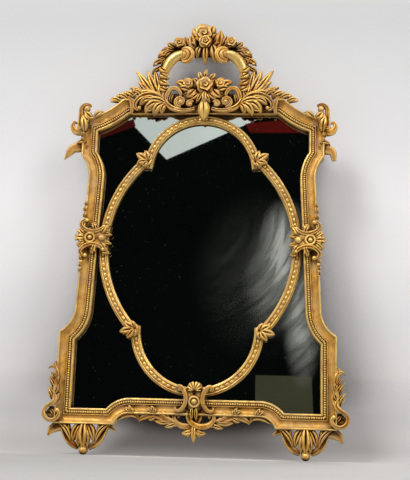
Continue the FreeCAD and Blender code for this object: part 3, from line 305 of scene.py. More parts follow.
def edge_line(first, last, offset, step=7.0):
    """Points along stretches of the opening's edge, moved outwards, with sharp corners kept."""
    line = []
    for i in range(first, last):
        stretch = EDGE[i]
        begin = meeting(EDGE[i - 1], stretch, offset) if i else stretch.place(0.0, offset)
        finish = meeting(stretch, EDGE[i + 1], offset) if i + 1 < len(EDGE) else stretch.past(0.0, offset)
        points = stretch.walk(begin, finish, offset, step)
        line.append(points if i == first else points[1:])
    return np.vstack(line)


def oval_meeting(end, offset):
    """Where the oval's right arc meets the top arc (end 1) or the bottom arc (end -1)."""
    (ax, az), ar = OVAL_ARCS["right"]
    (bx, bz), br = OVAL_ARCS["top" if end > 0 else "bottom"]
    ar, br = ar + offset, br + offset
    gap = np.array((bx - ax, bz - az))
    apart = np.linalg.norm(gap)
    along = (ar * ar - br * br + apart * apart) / (2 * apart)
    across = math.sqrt(ar * ar - along * along)
    foot = np.array((ax, az)) + gap * along / apart
    step = np.array((-gap[1], gap[0])) * across / apart
    return max(foot + step, foot - step, key=lambda p: p[0])


def oval_line(name, offset, count):
    """Points along one arc of the oval: a side arc between its joints, the others out to their cusps."""
    centre, radius = OVAL_ARCS[name]
    if name == "right":
        ends = oval_meeting(-1, offset), oval_meeting(1, offset)
        first, last = (math.degrees(math.atan2(p[1] - centre[1], p[0] - centre[0])) for p in ends)
    else:
        cusp = OVAL_CUSPS[name]
        first, last = (cusp, 180.0 - cusp) if name == "top" else (180.0 - cusp, 360.0 + cusp)
    turn = np.radians(np.linspace(first, last, count))
    return np.array(centre) + (radius + offset) * np.stack([np.cos(turn), np.sin(turn)], 1)


def spaced(line, count):
    """Evenly spaced points on a line of points."""
    run = np.r_[0.0, np.cumsum(np.linalg.norm(np.diff(line, axis=0), axis=1))]
    places = np.linspace(0.0, run[-1], count)
    return np.stack([np.interp(places, run, line[:, k]) for k in range(line.shape[1])], 1)


def through(points, count=32):
    """A smooth line through a few points."""
    p = np.array(points, float)
    p = np.vstack([2 * p[0] - p[1], p, 2 * p[-1] - p[-2]])
    t = np.linspace(0.0, 1.0, 16, endpoint=False)[:, None]
    fine = []
    for a, b, c, d in zip(p, p[1:], p[2:], p[3:]):
        fine.append(b + 0.5 * ((c - a) * t + (2 * a - 5 * b + 4 * c - d) * t**2 + (3 * b - a - 3 * c + d) * t**3))
    return spaced(np.vstack([*fine, p[-2:-1]]), count)


def led(start, heading, turns, depth, count=40):
    """A line led through arcs that each have a radius and a turn, left turns positive, at a depth or depths."""
    here, line = np.array(start, float), []
    for radius, turn in turns:
        side = 90.0 if turn > 0 else -90.0
        centre = here + radius * unit(heading + side)
        line += [centre + radius * unit(heading - side + turn * s) for s in np.linspace(0.0, 1.0, 24)]
        here = line[-1]
        heading += turn
    flat = spaced(np.array(line), count)
    return np.c_[flat, along(depth, count)]


def spiral(centre, radii, angles, depth, count=40):
    """A line that winds about a centre."""
    turn = np.linspace(*angles, count)
    reach = along(radii, count)
    flat = np.array([np.array(centre) + r * unit(a) for r, a in zip(reach, turn)])
    return np.c_[flat, along(depth, count)]


def along(values, count):
    """A number or a few numbers spread over a line."""
    values = np.atleast_1d(np.array(values, float))
    return np.interp(
        np.linspace(0, 1, count), np.linspace(0, 1, max(len(values), 2)), np.resize(values, max(len(values), 2)),
    )


class Carving:
    """Points in millimetres, their faces, and how far each point stands out, from 0 in a recess to 1."""

    def __init__(self):
        self.points, self.faces, self.heights, self.count = [], [], [], 0

    def add(self, points, faces, heights):
        """Adds points with their faces and heights."""
        self.points.append(np.asarray(points, float).reshape(-1, 3))
        self.heights.append(np.asarray(heights, float).ravel())
        self.faces += [tuple(int(i) + self.count for i in face) for face in faces]
        self.count += len(self.points[-1])

    def sheet(self, points, heights, round_rows=False, caps=False):
        """A grid of points, closed along each row for a tube, with flat ends."""
        rows, cols = points.shape[:2]
        index = np.arange(rows * cols).reshape(rows, cols)
        right = np.roll(index, -1, 1) if round_rows else index[:, 1:]
        left = index if round_rows else index[:, :-1]
        quads = np.stack([left[:-1], right[:-1], right[1:], left[1:]], -1).reshape(-1, 4)
        faces = [tuple(q) for q in quads]
        if caps:
            faces += [tuple(index[0][::-1]), tuple(index[-1])]
        self.add(points, faces, heights)

    def take(self, other):
        """Adds all of another carving."""
        self.add(np.vstack(other.points), other.faces, np.concatenate(other.heights))

    def dull(self, amount):
        """Lowers the heights of what is carved so far, which paints it darker: painted shade."""
        self.heights = [h - amount for h in self.heights]

    def mirrored(self):
        """The same carving for the left-hand side."""
        copy = Carving()
        copy.add(np.vstack(self.points) * (-1, 1, 1), [f[::-1] for f in self.faces], np.concatenate(self.heights))
        return copy


def rod(carving, path, wide, tall, gouge=0.0, back=0.8, around=16):
    """A scroll's stem: a rounded section carried along a path, with a gouged hollow down its face."""
    count = len(path)
    wide, tall = along(wide, count)[:, None], along(tall, count)[:, None]
    way = np.gradient(path, axis=0)
    way /= np.linalg.norm(way, axis=1)[:, None]
    side = np.cross(way, (0.0, 0.0, 1.0))
    side /= np.linalg.norm(side, axis=1)[:, None]
    face = np.cross(side, way)
    turn = np.linspace(0.0, 2 * np.pi, around, endpoint=False)
    across, out = np.cos(turn)[None, :], np.sin(turn)[None, :]
    hollow = gouge * np.exp(-((across / 0.42) ** 2)) * (out > 0)
    rise = np.where(out > 0, out, back * out) - hollow
    points = path[:, None] + side[:, None] * (wide * across)[..., None] + face[:, None] * (tall * rise)[..., None]
    ridge = np.exp(-((np.abs(across) - 0.72) / 0.22) ** 2) * (out > 0) if gouge else np.clip(out, 0, 1)
    heights = np.broadcast_to(0.25 + 0.75 * ridge - 0.6 * hollow, (count, around))
    carving.sheet(points, heights, round_rows=True, caps=True)


def ball(carving, centre, radius, squash=1.0, rows=8, cols=14):
    """A pearl or the eye of a scroll, on its seat."""
    up = np.linspace(-np.pi / 2 + 0.02, np.pi / 2 - 0.02, rows)[:, None]
    turn = np.linspace(0, 2 * np.pi, cols, endpoint=False)[None, :]
    points = np.stack([
        centre[0] + radius * np.cos(up) * np.cos(turn),
        centre[1] + radius * np.cos(up) * np.sin(turn),
        centre[2] + radius * squash * np.sin(up) * np.ones_like(turn),
    ], -1)
    carving.sheet(points, np.broadcast_to(0.45 + 0.55 * np.sin(up), points.shape[:2]), round_rows=True, caps=True)


def torus(carving, centre, radius, thick):
    """A raised ring about a boss."""
    turn = np.linspace(0, 2 * np.pi, 29)[:, None]
    small = np.linspace(0, 2 * np.pi, 9)[None, :]
    reach = radius + thick * np.cos(small)
    points = np.stack([
        centre[0] + reach * np.cos(turn), centre[1] + reach * np.sin(turn),
        centre[2] + thick * np.sin(small) * np.ones_like(turn),
    ], -1)
    carving.sheet(points, np.broadcast_to(0.5 + 0.5 * np.sin(small), points.shape[:2]))


def leaf(
    carving, root, tip, width, depths, bow=0.0, lobes=0, notch=0.4, crown=3.5, vein=2.0, thick=5.0, sweep=0.8,
    tone=0.0,
):
    """An acanthus or plain leaf: a bowed spine, lobed edges, a sunk midrib and a flute along each side."""
    rows, cols = 14 + 7 * lobes, 13
    u, v = np.linspace(0.0, 1.0, rows)[:, None], np.linspace(-1.0, 1.0, cols)[None, :]
    root, tip = np.array(root, float), np.array(tip, float)
    chord = tip - root
    left = np.array((-chord[1], chord[0])) / np.linalg.norm(chord)
    middle = (root + tip) / 2 + 2 * bow * left
    spine = (1 - u) ** 2 * root + 2 * u * (1 - u) * middle + u**2 * tip
    way = np.gradient(spine, axis=0)
    way /= np.linalg.norm(way, axis=1)[:, None]
    normal = np.stack([-way[:, 1], way[:, 0]], 1)
    full = np.sin(np.pi * (0.13 + 0.86 * u)) ** 0.8
    bay, eye = np.ones_like(u), np.zeros_like(u * v)
    if lobes:
        lobe = np.sin(np.pi * ((lobes * u) % 1.0)) ** 0.7
        bay = 1 - notch * (1 - lobe)
        eye = (1 - lobe) * np.abs(v) ** 1.5 * (u < 0.96) * (u > 0.06)
    rib = -np.cos(2 * np.pi * np.abs(v)) * np.ones_like(u)
    half = width / 2 * full * bay
    flat = spine[:, None] + normal[:, None] * (half * v)[..., None] + way[:, None] * (
        sweep * half * np.abs(v) ** 1.6
    )[..., None]
    lift = (1 - u) * (1 - 2 * u) * depths[0] + 4 * u * (1 - u) * depths[1] + u * (2 * u - 1) * depths[2]
    groove = np.exp(-((v / 0.16) ** 2)) * np.sin(np.pi * np.clip(u + 0.15, 0, 1))
    body = crown * (1 - v**2) * full**0.5
    front = lift + body - vein * groove + 0.32 * crown * rib * full - 0.5 * crown * eye
    rear = lift - thick + 0 * v
    # Heights set the gilding's colour: low in the midrib groove and the eyes, partly as painted shade, and tone lowers
    # a whole leaf, painting leaves set deep among others darker as painted shade.
    heights = 0.5 + tone + 0.24 * rib + 0.2 * (1 - v**2) - 0.42 * groove - 0.7 * eye + 1.5 * np.clip(
        np.abs(v) - 0.8, 0, 1,
    )
    inner = spine[:, None] + (flat - spine[:, None]) * 0.94
    loop = np.concatenate([np.dstack([flat, front]), np.dstack([inner, rear])[:, ::-1]], 1)
    carving.sheet(loop, np.concatenate([heights, 0.1 + 0 * heights], 1), round_rows=True, caps=True)


def rose(carving, centre, radius, depth, tall=0.8, spin=0.0, petals=5, turns=3.2):
    """A carved rose: petals that wind out from the bud, each with a raised lip over the next."""
    rows, cols = 34, 60
    ring, turn = np.linspace(0.02, 1.0, rows)[:, None], np.linspace(0, 2 * np.pi, cols, endpoint=False)[None, :]
    edge = radius * (0.86 + 0.14 * np.abs(np.cos(petals / 2 * (turn - spin))))
    wave = 0.10 * np.sin(petals * (turn - spin)) * np.clip(ring - 0.2, 0, 1)
    wind = turns * ring**0.9 + wave * turns - (turn - spin) / (2 * np.pi)
    lip = wind % 1.0
    dome = np.sqrt(np.clip(1 - 0.92 * ring**2, 0, 1))
    front = depth + tall * radius * (0.78 * dome + 0.22 * lip**1.5 - 0.1)
    front = np.maximum(front, depth + 0.08 * radius)
    reach = edge * ring
    points = np.stack([centre[0] + reach * np.cos(turn), centre[1] + reach * np.sin(turn), front], -1)
    heights = 0.12 + 0.9 * lip**1.4
    skirt = points[-1:].copy()
    skirt[..., 2] = depth - 3.0
    carving.sheet(
        np.concatenate([points, skirt]), np.concatenate([heights, 0 * heights[-1:]]), round_rows=True, caps=True,
    )


def shell(carving, centre, radius, depth, flutes=9, spread=200.0):
    """A scallop shell that opens upwards, with fluted ribs and a ruffled edge."""
    rows, cols = 16, 8 * flutes + 1
    ring, share = np.linspace(0.08, 1.0, rows)[:, None], np.linspace(-1.0, 1.0, cols)[None, :]
    rib = np.abs(np.cos(np.pi * flutes / 2 * (share + 1.0 / flutes)))
    turn = np.radians(90.0 - spread / 2 * share)
    reach = radius * ring * (1 - 0.18 * (1 - rib) * ring) * (1 - 0.22 * share**2)
    front = depth + 0.42 * radius * np.sin(np.pi * (0.15 + 0.7 * ring)) + 0.12 * radius * rib * ring
    flat = [centre[0] + reach * np.cos(turn), centre[1] + reach * np.sin(turn)]
    heights = 0.1 + 0.85 * rib * np.ones_like(ring)
    points = np.stack([*flat, front], -1)
    rear = np.stack([*flat, np.full_like(front, depth - 4.0)], -1)
    loop = np.concatenate([points, rear[:, ::-1]], 1)
    carving.sheet(loop, np.concatenate([heights, 0 * heights], 1), round_rows=True, caps=True)


def volute(carving, centre, radius, depth, wide, start, turns=1.4, eye=0.34, hand=1.0, tall=None):
    """A scroll wound in to its eye, from a starting angle; hand 1 winds to the left."""
    tall = tall or wide
    path = spiral(
        centre, (radius, radius * 0.55, radius * eye), (start, start + hand * 360.0 * turns), (depth, depth + 2.0),
        44,
    )
    rod(carving, path, (wide, wide * 0.9, wide * 0.6), (tall, tall, tall * 0.8), gouge=0.35)
    ball(carving, (*centre, depth + 1.0), radius * eye * 1.15, 1.0)


# Materials


def node(tree, kind, settings=None, **links):
    """Adds a node, sets its properties, and sets or links its inputs by name or number."""
    made = tree.nodes.new(kind)
    for key, value in (settings or {}).items():
        setattr(made, key, value)
    for key, value in links.items():
        socket = made.inputs[int(key[1:])] if key[0] == "i" and key[1:].isdigit() else made.inputs[
            key.replace("_", " ")
        ]
        if isinstance(value, bpy.types.NodeSocket):
            tree.links.new(value, socket)
        else:
            socket.default_value = value
    return made


def ramp(tree, fac, stops):
    """A colour ramp through places and colours."""
    made = node(tree, "ShaderNodeValToRGB", Fac=fac)
    while len(made.color_ramp.elements) < len(stops):
        made.color_ramp.elements.new(0.5)
    for element, (place, colour) in zip(made.color_ramp.elements, stops):
        element.position, element.color = place, colour
    return made.outputs["Color"]


def blank(name):
    """A new material, its node tree and its one glossy shader, which feeds the output."""
    material = bpy.data.materials.new(name)
    material.use_nodes = True
    tree = material.node_tree
    tree.nodes.clear()
    shader = node(tree, "ShaderNodeBsdfPrincipled")
    node(tree, "ShaderNodeOutputMaterial", Surface=shader.outputs["BSDF"])
    return material, tree, shader


def gilding(name, colours, burnish, shade_shift):
    """Gold leaf on gesso over carved wood: rubbed bright on the high places, dusty on the flats, and brown in the
    hollows, partly as dirt and partly as painted shade from ambient occlusion.
    """
    if name in bpy.data.materials:
        return bpy.data.materials[name]
    recess, dull, gold, bright, dust, bole = (tuple(c) + (1.0,) for c in (
        colours.recess, colours.dull, colours.gold, colours.bright, colours.dust, colours.bole))
    material, tree, shader = blank(name)
    place = node(tree, "ShaderNodeTexCoord")
    spot = place.outputs["Object"]
    relief = node(tree, "ShaderNodeAttribute", {"attribute_name": "relief"})
    patch = node(tree, "ShaderNodeTexNoise", Vector=spot, Scale=per_metre(22.0), Detail=5.0, Roughness=0.6)
    bloom = node(
        tree, "ShaderNodeTexNoise", Vector=spot, Scale=per_metre(70.0), Detail=6.0, Roughness=0.68, Distortion=0.8,
    )
    grain = node(tree, "ShaderNodeTexNoise", Vector=spot, Scale=per_metre(2.6), Detail=4.0, Roughness=0.7)
    # Painted shade: ambient occlusion darkens the gilding in hollows and between parts.
    shade = node(tree, "ShaderNodeAmbientOcclusion", {"samples": 8}, Distance=0.024)
    wear_and_shade = node(
        tree, "ShaderNodeMath", {"operation": "MULTIPLY_ADD"}, i0=patch.outputs["Fac"], i1=0.9,
        i2=relief.outputs["Fac"],
    )
    wear_and_shade = node(
        tree, "ShaderNodeMath", {"operation": "MULTIPLY_ADD"}, i0=grain.outputs["Fac"], i1=0.4, i2=wear_and_shade.outputs[0],
    )
    wear_and_shade = node(
        tree, "ShaderNodeMath", {"operation": "MULTIPLY_ADD"}, i0=shade.outputs["AO"], i1=1.35, i2=wear_and_shade.outputs[0],
    )
    # The level shift per kind paints the piece darker or lighter: painted light and shade.
    level = node(
        tree, "ShaderNodeMapRange", Value=wear_and_shade.outputs[0],
        From_Min=1.28 - burnish + shade_shift, From_Max=2.72 - burnish + shade_shift, To_Min=0.0, To_Max=1.0,
    ).outputs["Result"]
    leafed = ramp(tree, level, ((0.1, recess), (0.36, dull), (0.58, gold), (0.92, bright)))
    thin = node(
        tree, "ShaderNodeTexNoise", Vector=spot, Scale=per_metre(38.0), Detail=7.0, Roughness=0.72, Distortion=0.7,
    )
    bare = node(
        tree, "ShaderNodeMapRange", Value=thin.outputs["Fac"], From_Min=0.48, From_Max=0.66, To_Min=0.0, To_Max=0.62
    ).outputs["Result"]
    leafed = node(tree, "ShaderNodeMix", {"data_type": "RGBA"}, i0=bare, i6=leafed, i7=bole).outputs[2]
    lies = node(
        tree, "ShaderNodeMath", {"operation": "MULTIPLY_ADD"}, i0=grain.outputs["Fac"], i1=0.25,
        i2=bloom.outputs["Fac"],
    )
    film = node(
        tree, "ShaderNodeMapRange", Value=lies.outputs[0], From_Min=0.56, From_Max=0.78, To_Min=0.0,
        To_Max=0.75 - 2.0 * burnish
    ).outputs["Result"]
    dusted = node(tree, "ShaderNodeMix", {"data_type": "RGBA"}, i0=film, i6=leafed, i7=dust)
    sunk = node(tree, "ShaderNodeMapRange", Value=level, From_Min=0.12, From_Max=0.42, To_Min=0.0, To_Max=1.0)
    colour = node(
        tree, "ShaderNodeMix", {"data_type": "RGBA"}, i0=sunk.outputs["Result"], i6=leafed, i7=dusted.outputs[2],
    )
    back = node(tree, "ShaderNodeSeparateXYZ", Vector=place.outputs["Normal"])
    behind = node(
        tree, "ShaderNodeMapRange", Value=back.outputs["Y"], From_Min=0.55, From_Max=0.8, To_Min=0.0, To_Max=1.0,
    )
    wood = ramp(tree, grain.outputs["Fac"], ((0.3, linear("#4a3420")), (0.7, linear("#6d5033"))))
    base = node(
        tree, "ShaderNodeMix", {"data_type": "RGBA"}, i0=behind.outputs["Result"], i6=colour.outputs[2], i7=wood
    )
    gleam = node(tree, "ShaderNodeMapRange", Value=level, From_Min=0.35, From_Max=0.9, To_Min=0.1, To_Max=0.62)
    clean = node(
        tree, "ShaderNodeMath", {"operation": "MULTIPLY_ADD", "use_clamp": True}, i0=film, i1=-0.7,
        i2=gleam.outputs["Result"],
    )
    metal = node(
        tree, "ShaderNodeMix", {"data_type": "FLOAT"}, i0=behind.outputs["Result"], i2=clean.outputs[0], i3=0.0
    )
    sheen = node(tree, "ShaderNodeMapRange", Value=level, From_Min=0.15, From_Max=0.7, To_Min=0.04, To_Max=0.5)
    matt = node(
        tree, "ShaderNodeMapRange", Value=level, From_Min=0.2, From_Max=0.95, To_Min=0.66, To_Max=0.36 - burnish,
    )
    rough = node(
        tree, "ShaderNodeMath", {"operation": "MULTIPLY_ADD"}, i0=grain.outputs["Fac"], i1=0.16,
        i2=matt.outputs["Result"],
    )
    rubbed = node(
        tree, "ShaderNodeMath", {"operation": "MULTIPLY_ADD"}, i0=patch.outputs["Fac"], i1=0.7,
        i2=grain.outputs["Fac"],
    )
    bump = node(tree, "ShaderNodeBump", Strength=0.34, Distance=0.0006, Height=rubbed.outputs[0])
    for socket, value in (
        ("Base Color", base.outputs[2]), ("Metallic", metal.outputs[0]),
        ("Roughness", rough.outputs[0]), ("Normal", bump.outputs["Normal"]),
        ("Specular IOR Level", sheen.outputs["Result"]),
    ):
        tree.links.new(value, shader.inputs[socket])
    return material


def finish(kind):
    """The gilding of one kind of piece, in the colours of the scene's settings."""
    # The second number shifts each kind's colour levels: positive paints it darker, negative lighter, as painted light
    # and shade.
    burnish, shade_shift = {"moulding": (0.0, -0.14), "carving": (0.02, 0.2), "beads": (0.08, -0.1), "arch": (0.2, 0.12)}[kind]
    names = {
        "moulding": "Gilded moulding over gesso", "carving": "Gilded carved limewood",
        "beads": "Gilded composition beads", "arch": "Burnished gilding",
    }
    return gilding(names[kind], bpy.context.scene.mirror_colours, burnish, shade_shift)


def silvered_glass():
    """Old mirror plate, silvered behind: a grey-green reflection with wiped haze and specks at the edges."""
    if "Silvered plate glass" in bpy.data.materials:
        return bpy.data.materials["Silvered plate glass"]
    material, tree, shader = blank("Silvered plate glass")
    spot = node(tree, "ShaderNodeTexCoord").outputs["Object"]
    around = node(tree, "ShaderNodeMapping", Vector=spot, Location=(0.05, 0.0, 0.06), Scale=(1.0, 0.0, 1.0))
    swing = node(tree, "ShaderNodeVectorMath", {"operation": "LENGTH"}, i0=around.outputs["Vector"])
    slow = node(
        tree, "ShaderNodeSeparateXYZ",
        Vector=node(tree, "ShaderNodeMapping", Vector=spot, Scale=(0.16, 1.0, 0.16)).outputs["Vector"],
    )
    smear = node(tree, "ShaderNodeCombineXYZ", X=swing.outputs["Value"], Y=slow.outputs["X"], Z=slow.outputs["Z"])
    wipe = node(
        tree, "ShaderNodeTexNoise", Vector=smear.outputs["Vector"],
        Scale=per_metre(17.0), Detail=6.0, Roughness=0.6, Distortion=0.5,
    )
    streak = node(
        tree, "ShaderNodeMapRange", Value=wipe.outputs["Fac"], From_Min=0.34, From_Max=0.68, To_Min=0.3, To_Max=1.0,
    )
    film = None
    for centre, radii, weight in GLASS_HAZE:
        place = (-centre[0] / radii[0], 0.0, -centre[1] / radii[1])
        local = node(tree, "ShaderNodeMapping", Vector=spot, Location=place, Scale=(1 / radii[0], 0.0, 1 / radii[1]))
        far = node(tree, "ShaderNodeVectorMath", {"operation": "LENGTH"}, i0=local.outputs["Vector"])
        cloud = node(
            tree, "ShaderNodeMapRange", {"interpolation_type": "SMOOTHSTEP"}, Value=far.outputs["Value"],
            From_Min=0.05, From_Max=1.0, To_Min=weight, To_Max=0.0,
        ).outputs["Result"]
        film = node(tree, "ShaderNodeMath", {"operation": "ADD"}, i0=cloud, i1=film).outputs[0] if film else cloud
    haze = node(tree, "ShaderNodeMath", {"operation": "MULTIPLY"}, i0=film, i1=streak.outputs["Result"])
    speck = node(tree, "ShaderNodeTexNoise", Vector=spot, Scale=per_metre(5.0), Detail=2.0, Roughness=0.6)
    fox = node(
        tree, "ShaderNodeMapRange", Value=speck.outputs["Fac"], From_Min=0.72, From_Max=0.8, To_Min=0.0, To_Max=0.3,
    )
    veil = node(tree, "ShaderNodeMath", {"operation": "MAXIMUM"}, i0=haze.outputs[0], i1=fox.outputs["Result"])
    colour = ramp(tree, veil.outputs[0], ((0.0, linear("#c4cbc5")), (0.5, linear("#9aa19e"))))
    metal = node(
        tree, "ShaderNodeMath", {"operation": "MULTIPLY_ADD", "use_clamp": True}, i0=veil.outputs[0], i1=-0.8, i2=1.0,
    )
    rough = node(tree, "ShaderNodeMath", {"operation": "MULTIPLY_ADD"}, i0=veil.outputs[0], i1=0.4, i2=0.015)
    for socket, value in (("Base Color", colour), ("Metallic", metal.outputs[0]), ("Roughness", rough.outputs[0])):
        tree.links.new(value, shader.inputs[socket])
    return material


def timber(name, dark, light, across):
    """Sawn wood left raw on the back: streaks of grain along the board and a dry matt face."""
    material, tree, shader = blank(name)
    spot = node(tree, "ShaderNodeTexCoord").outputs["Object"]
    run = node(tree, "ShaderNodeMapping", Vector=spot, Scale=(1.0, 1.0, 0.06))
    grain = node(
        tree, "ShaderNodeTexNoise", Vector=run.outputs["Vector"], Scale=per_metre(across), Detail=7.0, Roughness=0.65,
        Distortion=0.6,
    )
    stain = node(tree, "ShaderNodeTexNoise", Vector=spot, Scale=per_metre(170.0), Detail=3.0)
    tone = node(
        tree, "ShaderNodeMath", {"operation": "MULTIPLY_ADD"}, i0=stain.outputs["Fac"], i1=0.5,
        i2=grain.outputs["Fac"],
    )
    colour = ramp(tree, tone.outputs[0], ((0.45, linear(dark)), (1.0, linear(light))))
    bump = node(tree, "ShaderNodeBump", Strength=0.35, Distance=0.0005, Height=grain.outputs["Fac"])
    tree.links.new(colour, shader.inputs["Base Color"])
    tree.links.new(bump.outputs["Normal"], shader.inputs["Normal"])
    shader.inputs["Roughness"].default_value = 0.78
    return material


def metal(name, dark, light, roughness):
    """Small stamped or turned metal fittings: dulled, with tarnish in patches and fine rub marks.

    The rub marks are drawn 0.7 mm apart, coarser than real ones, so that they show.
    """
    material, tree, shader = blank(name)
    spot = node(tree, "ShaderNodeTexCoord").outputs["Object"]
    stain = node(tree, "ShaderNodeTexNoise", Vector=spot, Scale=per_metre(7.0), Detail=5.0, Roughness=0.65)
    rub = node(tree, "ShaderNodeTexNoise", Vector=spot, Scale=per_metre(0.7), Detail=2.0)
    colour = ramp(tree, stain.outputs["Fac"], ((0.36, linear(dark)), (0.62, linear(light))))
    rough = node(
        tree, "ShaderNodeMath", {"operation": "MULTIPLY_ADD"}, i0=stain.outputs["Fac"], i1=-0.25, i2=roughness + 0.12,
    )
    bump = node(tree, "ShaderNodeBump", Strength=0.15, Distance=0.0002, Height=rub.outputs["Fac"])
    tree.links.new(colour, shader.inputs["Base Color"])
    tree.links.new(rough.outputs[0], shader.inputs["Roughness"])
    tree.links.new(bump.outputs["Normal"], shader.inputs["Normal"])
    shader.inputs["Metallic"].default_value = 1.0
    return material


def felt():
    """Pressed wool felt: a dark matt pad with loose fibres 0.8 mm apart, coarser than wool, so that they show."""
    material, tree, shader = blank("Pressed wool felt")
    spot = node(tree, "ShaderNodeTexCoord").outputs["Object"]
    fibre = node(tree, "ShaderNodeTexNoise", Vector=spot, Scale=per_metre(0.8), Detail=6.0, Roughness=0.75)
    colour = ramp(tree, fibre.outputs["Fac"], ((0.3, linear("#2b2521")), (0.75, linear("#5a4e44"))))
    bump = node(tree, "ShaderNodeBump", Strength=0.6, Distance=0.0006, Height=fibre.outputs["Fac"])
    tree.links.new(colour, shader.inputs["Base Color"])
    tree.links.new(bump.outputs["Normal"], shader.inputs["Normal"])
    shader.inputs["Roughness"].default_value = 0.95
    shader.inputs["Sheen Weight"].default_value = 0.3
    return material


def piece(name, carving, material, slot, *nodes):
    """Makes a carving into an object in the frame's metres that stands for CAD nodes."""
    points = np.vstack(carving.points)
    places = np.stack([points[:, 0], -points[:, 2], points[:, 1] - PIN_HEIGHT], 1) * MM
    mesh = bpy.data.meshes.new(name)
    mesh.from_pydata(places.tolist(), [], carving.faces)
    # The relief heights set the gilding's colour: rubbed gold on the high places and dark brown in the recesses, which
    # is partly painted shade.
    relief = mesh.attributes.new("relief", "FLOAT", "POINT")
    relief.data.foreach_set("value", np.clip(np.concatenate(carving.heights), 0, 1).astype(np.float32))
    work = bmesh.new()
    work.from_mesh(mesh)
    bmesh.ops.recalc_face_normals(work, faces=work.faces)
    work.to_mesh(mesh)
    work.free()
    mesh.shade_smooth()
    mesh.set_sharp_from_angle(angle=math.radians(50))
    mesh.materials.append(material)
    made = bpy.data.objects.new(name, mesh)
    bpy.context.scene.collection.objects.link(made)
    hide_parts(*nodes)
    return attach(made, BODY)


def pair(name, carving, material, slot, node_name=None):
    """The right-hand piece and its mirrored left-hand fellow."""
    node_name = node_name or name
    piece(f"{name}_on_right", carving, material, slot, f"{node_name}_right")
    piece(f"{name}_on_left", carving.mirrored(), material, slot, f"{node_name}_left")


# Mouldings


def moulding(lines, profile):
    """A moulding from one line of points for each place across its section."""
    carving = Carving()
    points = np.stack([np.c_[line, np.full(len(line), forward)] for line, (_, forward, _) in zip(lines, profile)], 1)
    heights = np.broadcast_to(np.array([h for _, _, h in profile]), points.shape[:2])
    carving.sheet(points, heights, round_rows=True, caps=True)
    return carving


def whole(half):
    """A line over the middle from its right half that starts or ends there."""
    flipped = (half * (-1, 1))[::-1]
    return np.vstack([flipped[:-1], half]) if abs(half[0][0]) < 0.01 else np.vstack([half, flipped[1:]])


def past_break(line):
    """The part of a top rail's line that lies outside the crest."""
    return np.vstack([(TOP_BREAK, line[0][1]), line[line[:, 0] > TOP_BREAK]])


def beads_on(carving, line, pitch, size, depth):
    """Beads set evenly along a line, each as long, wide and tall as its size says."""
    length = np.linalg.norm(np.diff(line, axis=0), axis=1).sum()
    places = spaced(line, max(3, int(round(length / pitch))) + 1)
    ways = np.gradient(places, axis=0)
    up, turn = np.radians((8.0, 38.0, 64.0, 84.0))[:, None], np.linspace(0, 2 * np.pi, 10, endpoint=False)[None, :]
    local = np.stack([
        size[0] * np.cos(up) * np.cos(turn), size[1] * np.cos(up) * np.sin(turn),
        size[2] * np.sin(up) * np.ones_like(turn)
    ], -1)
    heights = np.broadcast_to(np.array((0.15, 0.6, 0.95, 1.0))[:, None], (4, 10))
    for centre, way in zip((places[1:] + places[:-1]) / 2, ways):
        way = way / np.linalg.norm(way)
        turned = np.stack([
            centre[0] + local[..., 0] * way[0] - local[..., 1] * way[1],
            centre[1] + local[..., 0] * way[1] + local[..., 1] * way[0],
            depth + local[..., 2],
        ], -1)
        carving.sheet(turned, heights, round_rows=True, caps=True)


class MIRROR_OT_frame(bpy.types.Operator):
    """Builds the outer frame's four moulded members."""

    bl_idname = "mirror.frame_mouldings"
    bl_label = "Frame mouldings"

    def execute(self, context):
        top = moulding([past_break(edge_line(0, 2, s)) for s, _, _ in RAIL_PROFILE], RAIL_PROFILE)
        plain = [np.array(((-TOP_BREAK, SIGHT_TOP + s), (TOP_BREAK, SIGHT_TOP + s))) for s, _, _ in PLAIN_PROFILE]
        top.take(top.mirrored())
        top.take(moulding(plain, PLAIN_PROFILE))
        stile = moulding([edge_line(2, 7, s) for s, _, _ in RAIL_PROFILE], RAIL_PROFILE)
        bottom = [whole(edge_line(7, 10, s)) for s, _, _ in RAIL_PROFILE]
        gilt = finish("moulding")
        piece("moulded_top_rail", top, gilt, "gilded_moulding", "top_rail")
        piece("moulded_right_stile", stile, gilt, "gilded_moulding", "right_stile")
        piece("moulded_left_stile", stile.mirrored(), gilt, "gilded_moulding", "left_stile")
        piece("moulded_bottom_rail", moulding(bottom, RAIL_PROFILE), gilt, "gilded_moulding", "bottom_rail")
        return {"FINISHED"}


class MIRROR_OT_beads(bpy.types.Operator):
    """Builds the row of beads round the outer frame."""

    bl_idname = "mirror.bead_row"
    bl_label = "Bead row"

    def execute(self, context):
        sizes = context.scene.mirror_sizes
        row = Carving()
        radius, pitch = sizes.bead_radius / MM, sizes.bead_pitch / MM
        size = (radius * 0.92, radius, radius)
        for first, last in ((0, 2), (2, 7), (7, 10)):
            line = edge_line(first, last, BEAD_LINE, 3.0)
            line = line if first else past_break(line)
            beads_on(row, line, pitch, size, BEAD_DEPTH)
        both = Carving()
        both.take(row)
        both.take(row.mirrored())
        piece("frame_bead_row", both, finish("beads"), "gilded_beads", "bead_course")
        return {"FINISHED"}


